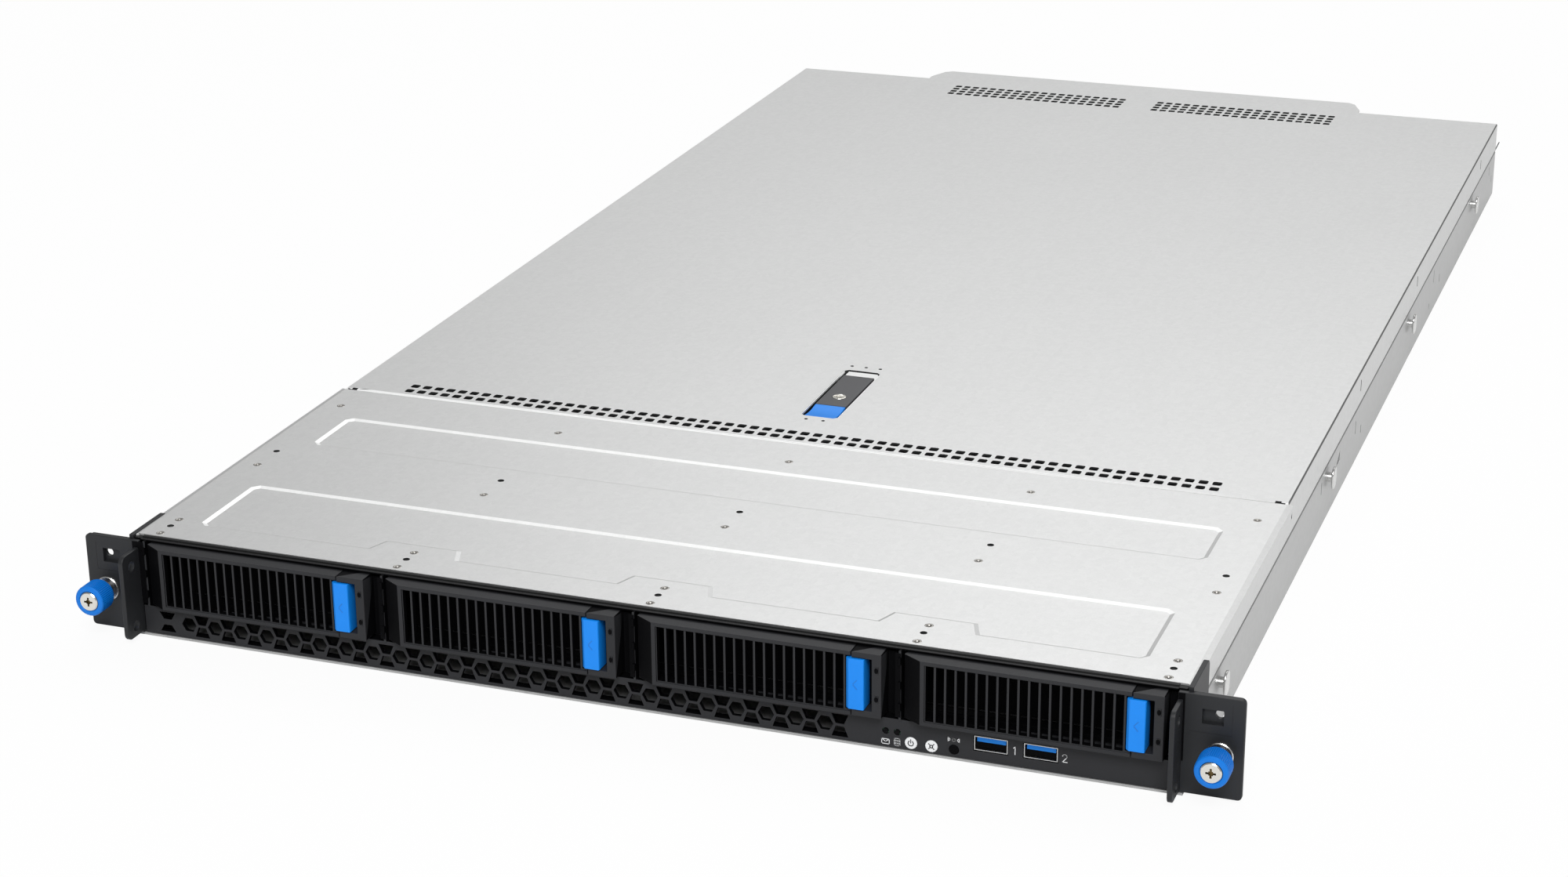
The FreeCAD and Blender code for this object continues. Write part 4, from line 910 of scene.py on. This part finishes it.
def make_sockets():
    piece = new_piece("usb_shells", merged_copy("usb_sockets"))
    bevelled(piece, 0.1 * MM, 2)
    stand_for(piece, "usb_sockets")
    tongues, wells = bmesh.new(), bmesh.new()
    for x in SOCKETS_X:
        block(tongues, (x - 5.6 * MM, 1.2 * MM, 8.5 * MM), (x + 5.6 * MM, 9 * MM, 10.5 * MM))
        block(wells, (x - 6.0 * MM, 1.6 * MM, 5.9 * MM), (x + 6.0 * MM, 9 * MM, 8.4 * MM))
    sleeves = new_piece("usb_tongue_sleeves", tongues, BLUE)
    bevelled(sleeves, 0.12 * MM, 2)
    add(sleeves, "chassis")
    # near-black wells of painted shade inside the sockets
    add(new_piece("usb_wells", wells, SHADOW_BLACK), "chassis")


def make_panel_lamps():
    # lamp windows in near-black painted shade
    radius, front, back = 1.05 * MM, -0.12 * MM, 0.6 * MM
    windows = bmesh.new()
    for x in PANEL_LAMPS_X:
        lathe(windows, ((0.02 * MM, front), (radius, front), (radius, back)), 24, (x, 0.0, PANEL_LAMPS_Z))
    add(new_piece("panel_lamp_windows", windows, LENS), "chassis")


# --- ears and thumbscrews ---

EAR_TOP, LEAF_TOP = 41.5 * MM, 41.0 * MM
EAR_THICK = 2.0 * MM
EAR_WINDOW_X, EAR_WINDOW_Z = (225.4 * MM, 233.4 * MM), (30.2 * MM, 36.2 * MM)
EAR_LINE_CORNERS = ((221.2 * MM, 26.6 * MM), (236.6 * MM, 26.6 * MM), (236.6 * MM, 38.6 * MM))
SCREW_PASSAGE = 4.05 * MM
TAB_FOOT, TAB_TOP = 1.9 * MM, 38.8 * MM
TAB_HOLES_Z = (6.5 * MM, 32.8 * MM)


def cylinder_tool(centre, radius, reach, along="Y", sides=32):
    """A round tool lying along X or Y."""
    turn = Matrix.Rotation(math.pi / 2, 4, "X" if along == "Y" else "Y")
    form = bmesh.new()
    bmesh.ops.create_cone(form, cap_ends=True, segments=sides, radius1=radius, radius2=radius,
                          depth=reach, matrix=Matrix.Translation(centre) @ turn)
    return new_piece("round_tool", form)


def box_tool(low, high):
    form = bmesh.new()
    block(form, low, high)
    return new_piece("square_tool", form)


def make_ears():
    for side, sign in (("left", -1), ("right", 1)):
        make_ear_trim(side, sign)
        make_bracket(side, sign)
        ring = new_piece(f"retainer_ring_{side}", merged_copy(f"retainer_{side}"))
        bevelled(ring, 0.1 * MM, 2)
        stand_for(ring, f"retainer_{side}")
        make_knob(side)
        make_screw(side)
    make_guides()


def screw_place(side):
    low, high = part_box(f"screw_{side}")
    return (low[0] + high[0]) / 2, (low[2] + high[2]) / 2


def outer_corners(sign):
    """Which corners of an ear's outline are round: the two away from the server."""
    left, right = sign < 0, sign > 0
    return (left, right, right, left)


def make_ear_trim(side, sign):
    """Moulded ear: a front face with a window, and a tab that runs forward along the server's side."""
    low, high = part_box(f"ear_trim_{side}")
    outline = rounded((low[0], low[2]), (high[0], EAR_TOP), 1.7 * MM, outer_corners(sign))
    face = plate("ear_face", outline, 0.0, EAR_THICK)
    bevelled(face, 0.3 * MM, 3)
    x, z = screw_place(side)
    window = sorted(sign * edge for edge in EAR_WINDOW_X)
    tools = [box_tool((window[0], -1 * MM, EAR_WINDOW_Z[0]), (window[1], 3 * MM, EAR_WINDOW_Z[1])),
             cylinder_tool((x, 1 * MM, z), SCREW_PASSAGE, 6 * MM)]
    carved(face, joined("ear_cuts", tools))
    inner = low[0] if sign > 0 else high[0]
    outline = rounded((low[1], TAB_FOOT), (1.0 * MM, TAB_TOP), 3.0 * MM, (1, 0, 0, 1), 8)
    tab = plate("ear_tab", outline, *sorted((inner, inner + sign * EAR_THICK)), "X")
    bevelled(tab, 0.35 * MM, 3)
    tools = [cylinder_tool((inner, -6.5 * MM, height), 2.3 * MM, 8 * MM, "X") for height in TAB_HOLES_Z]
    carved(tab, joined("tab_cuts", tools))
    trim = joined(f"ear_trim_finished_{side}", [face, tab])
    smooth(trim, 35.0)
    stand_for(trim, f"ear_trim_{side}")

    # dark raised strokes of painted shade along the ear's moulding lines
    lines = bmesh.new()
    stroke(lines, [(sign * u, v) for u, v in EAR_LINE_CORNERS], 0.22 * MM, -0.01 * MM, 0.03 * MM)
    mark = new_piece(f"ear_moulding_lines_{side}", lines, EAR_SHADE_LINE)
    add(mark, body_of_node[f"ear_trim_{side}"])


def make_bracket(side, sign):
    """Steel angle behind the ear, its front leaf cut like the ear and its other leaf on the body."""
    low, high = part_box(f"ear_bracket_{side}")
    outline = rounded((low[0], low[2]), (high[0], LEAF_TOP), 2.0 * MM, outer_corners(sign))
    leaf = plate("front_leaf", outline, low[1], low[1] + 1.5 * MM)
    x, z = screw_place(side)
    hole = (sign * 231.6 * MM, low[1], 33.8 * MM)
    tools = [cylinder_tool((x, low[1], z), SCREW_PASSAGE, 8 * MM), cylinder_tool(hole, 1.75 * MM, 8 * MM)]
    carved(leaf, joined("leaf_cuts", tools))
    inner = low[0] if sign > 0 else high[0]
    outline = rounded((low[1], low[2]), (28.5 * MM, TOP + 0.25 * MM), 2.5 * MM, (0, 1, 1, 0))
    fold = plate("side_leaf", outline, *sorted((inner, inner + sign * 2.0 * MM)), "X")
    bevelled(fold, 0.2 * MM, 2)
    bracket = joined(f"ear_bracket_sheet_{side}", [leaf, fold])
    smooth(bracket, 35.0)
    stand_for(bracket, f"ear_bracket_{side}")


def ring_of(name, profile, steps, at, ripple=None):
    """A closed ring turned about a line along Y."""
    form = bmesh.new()
    rings = lathe(form, profile, steps, at, ripple)
    for step in range(len(rings)):
        here, there = rings[step], rings[(step + 1) % len(rings)]
        form.faces.new((here[-1], there[-1], there[0], here[0]))
    return new_piece(name, form)


def on_guide_thread(middle, normal):
    return middle.y < -0.84 * MM


def make_guides():
    """The bright pressed-in guides that the thumbscrews run in."""
    low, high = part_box("thumbscrew_ferrules")
    flange, barrel, neck, bore = 5.15 * MM, 3.9 * MM, 3.05 * MM, 2.56 * MM
    profile = [(bore, low[1] + 0.2 * MM), (bore + 0.2 * MM, low[1])]
    y = low[1] + 0.1 * MM
    while y < -1.5 * MM:
        profile += [(neck, y), (neck, y + 0.22 * MM), (neck - 0.3 * MM, y + 0.38 * MM)]
        y += 0.55 * MM
    profile += [(neck, -0.85 * MM), (barrel + 0.2 * MM, -0.8 * MM), (flange - 0.35 * MM, -0.8 * MM),
                (flange, -0.5 * MM), (flange, -0.06 * MM), (barrel, -0.05 * MM),
                (barrel, high[1] - 0.3 * MM), (barrel - 0.3 * MM, high[1]), (bore, high[1])]
    guides = []
    for side in ("left", "right"):
        x, z = screw_place(side)
        guides.append(ring_of(f"guide_{side}", profile, 64, (x, 0.0, z)))
    piece = joined("thumbscrew_guides", guides)
    smooth(piece)
    repaint(piece, THREAD_ZINC, on_guide_thread)
    stand_for(piece, "thumbscrew_ferrules")


def knurl(step):
    return (1.0, 0.985, 0.965, 0.985)[step % 4]


def make_knob(side):
    low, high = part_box(f"knob_{side}")
    x, z = screw_place(side)
    front, back = low[1], high[1]
    outer = (high[2] - low[2]) / 2
    inner = 4.25 * MM
    profile = [
        (inner, front + 0.35 * MM), (inner + 0.3 * MM, front), (outer - 1.1 * MM, front),
        (outer - 0.45 * MM, front + 0.25 * MM), (outer - 0.1 * MM, front + 0.8 * MM),
        (outer, front + 1.2 * MM, True), (outer, back - 1.5 * MM, True),
        (outer - 0.45 * MM, back - 1.1 * MM), (outer - 0.5 * MM, back - 0.4 * MM),
        (outer - 0.9 * MM, back), (inner, back),
    ]
    knob = ring_of(f"knurled_knob_{side}", profile, 208, (x, 0.0, z), knurl)
    smooth(knob)
    stand_for(knob, f"knob_{side}")


def turned(name, profile, steps, at):
    """A solid turned about a line along Y, closed where its outline meets the line."""
    form = bmesh.new()
    lathe(form, profile, steps, at)
    bmesh.ops.remove_doubles(form, verts=form.verts, dist=WELD / 2)
    return new_piece(name, form)


def cut_cross(cap, x, z, front):
    """Cuts two bars and a wider middle into a screw's head."""
    for wide, tall, ahead, deep in ((3.9, 0.8, 1.0, 1.1), (0.8, 3.9, 1.0, 1.1), (1.7, 1.7, 0.9, 1.0)):
        carved(cap, box_tool((x - wide / 2 * MM, front - ahead * MM, z - tall / 2 * MM),
                             (x + wide / 2 * MM, front + deep * MM, z + tall / 2 * MM)))


def make_screw(side):
    """Screw with a flat head and cross recess, a plain shank and a run of thread."""
    low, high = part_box(f"screw_{side}")
    x, z = screw_place(side)
    front, tip = low[1], high[1]
    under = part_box(f"knob_{side}")[0][1] + 3.0 * MM
    head, shank, thread = 4.1 * MM, 2.5 * MM, 2.3 * MM
    profile = [(0.0, front), (head - 0.4 * MM, front), (head, front + 0.4 * MM), (head, under), (0.0, under)]
    cap = turned("screw_head", profile, 64, (x, 0.0, z))
    cut_cross(cap, x, z, front)

    start = tip - 3.3 * MM
    profile = [(0.0, under - 0.1 * MM), (shank, under - 0.1 * MM), (shank, start - 0.3 * MM), (thread, start)]
    turns = 5
    rise = (tip - 0.7 * MM - start) / turns
    for turn in range(turns):
        y = start + rise * turn
        profile += [(thread, y + rise * 0.1), (thread - 0.32 * MM, y + rise * 0.5), (thread, y + rise * 0.9)]
    profile += [(thread - 0.6 * MM, tip), (0.0, tip)]
    rod = turned("screw_rod", profile, 40, (x, 0.0, z))
    screw = joined(f"captive_screw_{side}", [cap, rod])
    smooth(screw, 32.0)

    def in_cross(middle, normal):
        near_line = math.hypot(middle.x - x, middle.z - z) < 3.0 * MM
        return near_line and front + 0.05 * MM < middle.y < front + 1.2 * MM

    # the cross recess in painted shade
    repaint(screw, RECESS_SHADE, in_cross)
    stand_for(screw, f"screw_{side}")


# --- cover latch and rail studs ---

STUD_FIRST_Y, STUD_PITCH, STUD_Z = 57.7 * MM, 222.5 * MM, 19.8 * MM


def make_latch():
    for node, width in (("latch_lever", 0.3), ("latch_release", 0.35), ("latch_lock_screw", 0.2)):
        piece = new_piece(f"{node}_finished", merged_copy(node))
        bevelled(piece, width * MM, 2)
        if node == "latch_lock_screw":
            piece.data.shade_flat()
        stand_for(piece, node)


def make_rail_studs():
    """Headed studs on both side walls for the rails."""
    studs = []
    for side in (-1, 1):
        root, under, top = (side * (HALF + out * MM) for out in (-0.5, 2.3, 3.4))
        for place in range(4):
            y = STUD_FIRST_Y + STUD_PITCH * place
            low, high = (y - 4 * MM, STUD_Z - 5 * MM), (y + 4 * MM, STUD_Z + 5 * MM)
            head = plate("stud_head", rounded(low, high, 3.6 * MM, (1, 1, 1, 1)), *sorted((under, top)), "X")
            bevelled(head, 0.45 * MM, 3)
            neck = plate("stud_neck", arc(y, STUD_Z, 2.2 * MM, 0, 345, 23),
                         *sorted((root, under + side * 0.2 * MM)), "X")
            studs += [head, neck]
    piece = joined("rail_studs_finished", studs)
    smooth(piece, 35.0)
    stand_for(piece, "rail_studs")


make_rear_cover()
make_latch_well_rim()
make_front_cover()
make_cover_screws()
make_side_joints()
make_trays()
make_bezel()
make_keys()
make_panel_marks()
make_sockets()
make_panel_lamps()
make_ears()
make_latch()
make_rail_studs()


# --- floor, light and camera ---

FLOOR_REACH, FLOOR_GAP = 30.0, 0.4 * MM
GLOW_SHARE = 0.93                         # how far the floor hides its shading from the camera
SOFT_LIGHT = 0.3
CAMERA_PLACE = (0.4272, -0.9853, 0.5248)
CAMERA_TURN, CAMERA_DROP, CAMERA_ROLL = 0.3523, 0.3671, -0.0092     # radians
CAMERA_LENS = 69.995


def make_floor():
    """White to the camera but for its shadows, and pale grey to all else."""
    form = bmesh.new()
    bmesh.ops.create_grid(form, x_segments=1, y_segments=1, size=FLOOR_REACH,
                          matrix=Matrix.Translation((0, 0, BODY_LOW[2] - FLOOR_GAP)))
    floor = new_piece("floor", form)
    f = Finish("pale_floor")
    lit = f.node("ShaderNodeBsdfDiffuse", None, {"Color": rgb(0.9, 0.9, 0.9)})
    glow = f.node("ShaderNodeEmission", None, {"Color": rgb(1, 1, 1), "Strength": 1.0})
    seen = f.node("ShaderNodeLightPath", output="Is Camera Ray")
    mixed = f.node("ShaderNodeMixShader", None, {0: seen * GLOW_SHARE, 1: lit, 2: glow})
    f.node("ShaderNodeOutputMaterial", None, {"Surface": mixed})
    floor.data.materials.append(f.material)


def make_world():
    """White to the camera, and a soft light to all else."""
    world = bpy.data.worlds.new("studio")
    world.use_nodes = True
    tree = world.node_tree
    tree.nodes.clear()
    make, link = tree.nodes.new, tree.links.new
    mix = make("ShaderNodeMixShader")
    link(make("ShaderNodeLightPath").outputs["Is Camera Ray"], mix.inputs[0])
    for slot, strength in ((1, SOFT_LIGHT), (2, 1.0)):
        light = make("ShaderNodeBackground")
        light.inputs["Color"].default_value = rgb(1.0, 1.0, 1.0)
        light.inputs["Strength"].default_value = strength
        link(light.outputs[0], mix.inputs[slot])
    link(mix.outputs[0], make("ShaderNodeOutputWorld").inputs["Surface"])
    bpy.context.scene.world = world


def make_lamp(name, at, target, size, energy):
    data = bpy.data.lights.new(name, "AREA")
    data.shape = "RECTANGLE"
    data.size = size[0]
    data.size_y = size[1]
    data.energy = energy
    lamp = bpy.data.objects.new(name, data)
    lamp.location = at
    lamp.rotation_euler = (Vector(target) - Vector(at)).to_track_quat("-Z", "Y").to_euler()
    bpy.context.scene.collection.objects.link(lamp)


def make_camera():
    """Long lens ahead and to the right of the server, looking down along it."""
    turn, drop, roll = CAMERA_TURN, CAMERA_DROP, CAMERA_ROLL
    ahead = Vector((-math.sin(turn) * math.cos(drop), math.cos(turn) * math.cos(drop), -math.sin(drop)))
    level = Vector((math.cos(turn), math.sin(turn), 0.0))
    upright = level.cross(ahead)
    right = level * math.cos(roll) + upright * math.sin(roll)
    up = upright * math.cos(roll) - level * math.sin(roll)
    data = bpy.data.cameras.new("camera")
    data.sensor_width = 36.0
    data.sensor_fit = "HORIZONTAL"
    data.lens = CAMERA_LENS
    data.clip_end = 100.0
    camera = bpy.data.objects.new("camera", data)
    facing = Matrix((right, up, -ahead)).transposed().to_4x4()
    camera.matrix_world = Matrix.Translation(CAMERA_PLACE) @ facing
    bpy.context.scene.collection.objects.link(camera)
    bpy.context.scene.camera = camera


make_floor()
make_world()
make_lamp("key", (1.5, -3.9, 4.3), (0.0, 0.35, 0.0), (2.4, 2.4), 285.0)
make_lamp("top", (-0.4, 3.1, 3.1), (0.0, 0.9, 0.0), (2.6, 2.6), 50.0)
make_lamp("side_fill", (3.2, 0.9, 1.6), (0.2, 0.4, 0.0), (1.6, 1.6), 3.0)
make_camera()
bpy.context.scene.view_settings.view_transform = "Standard"
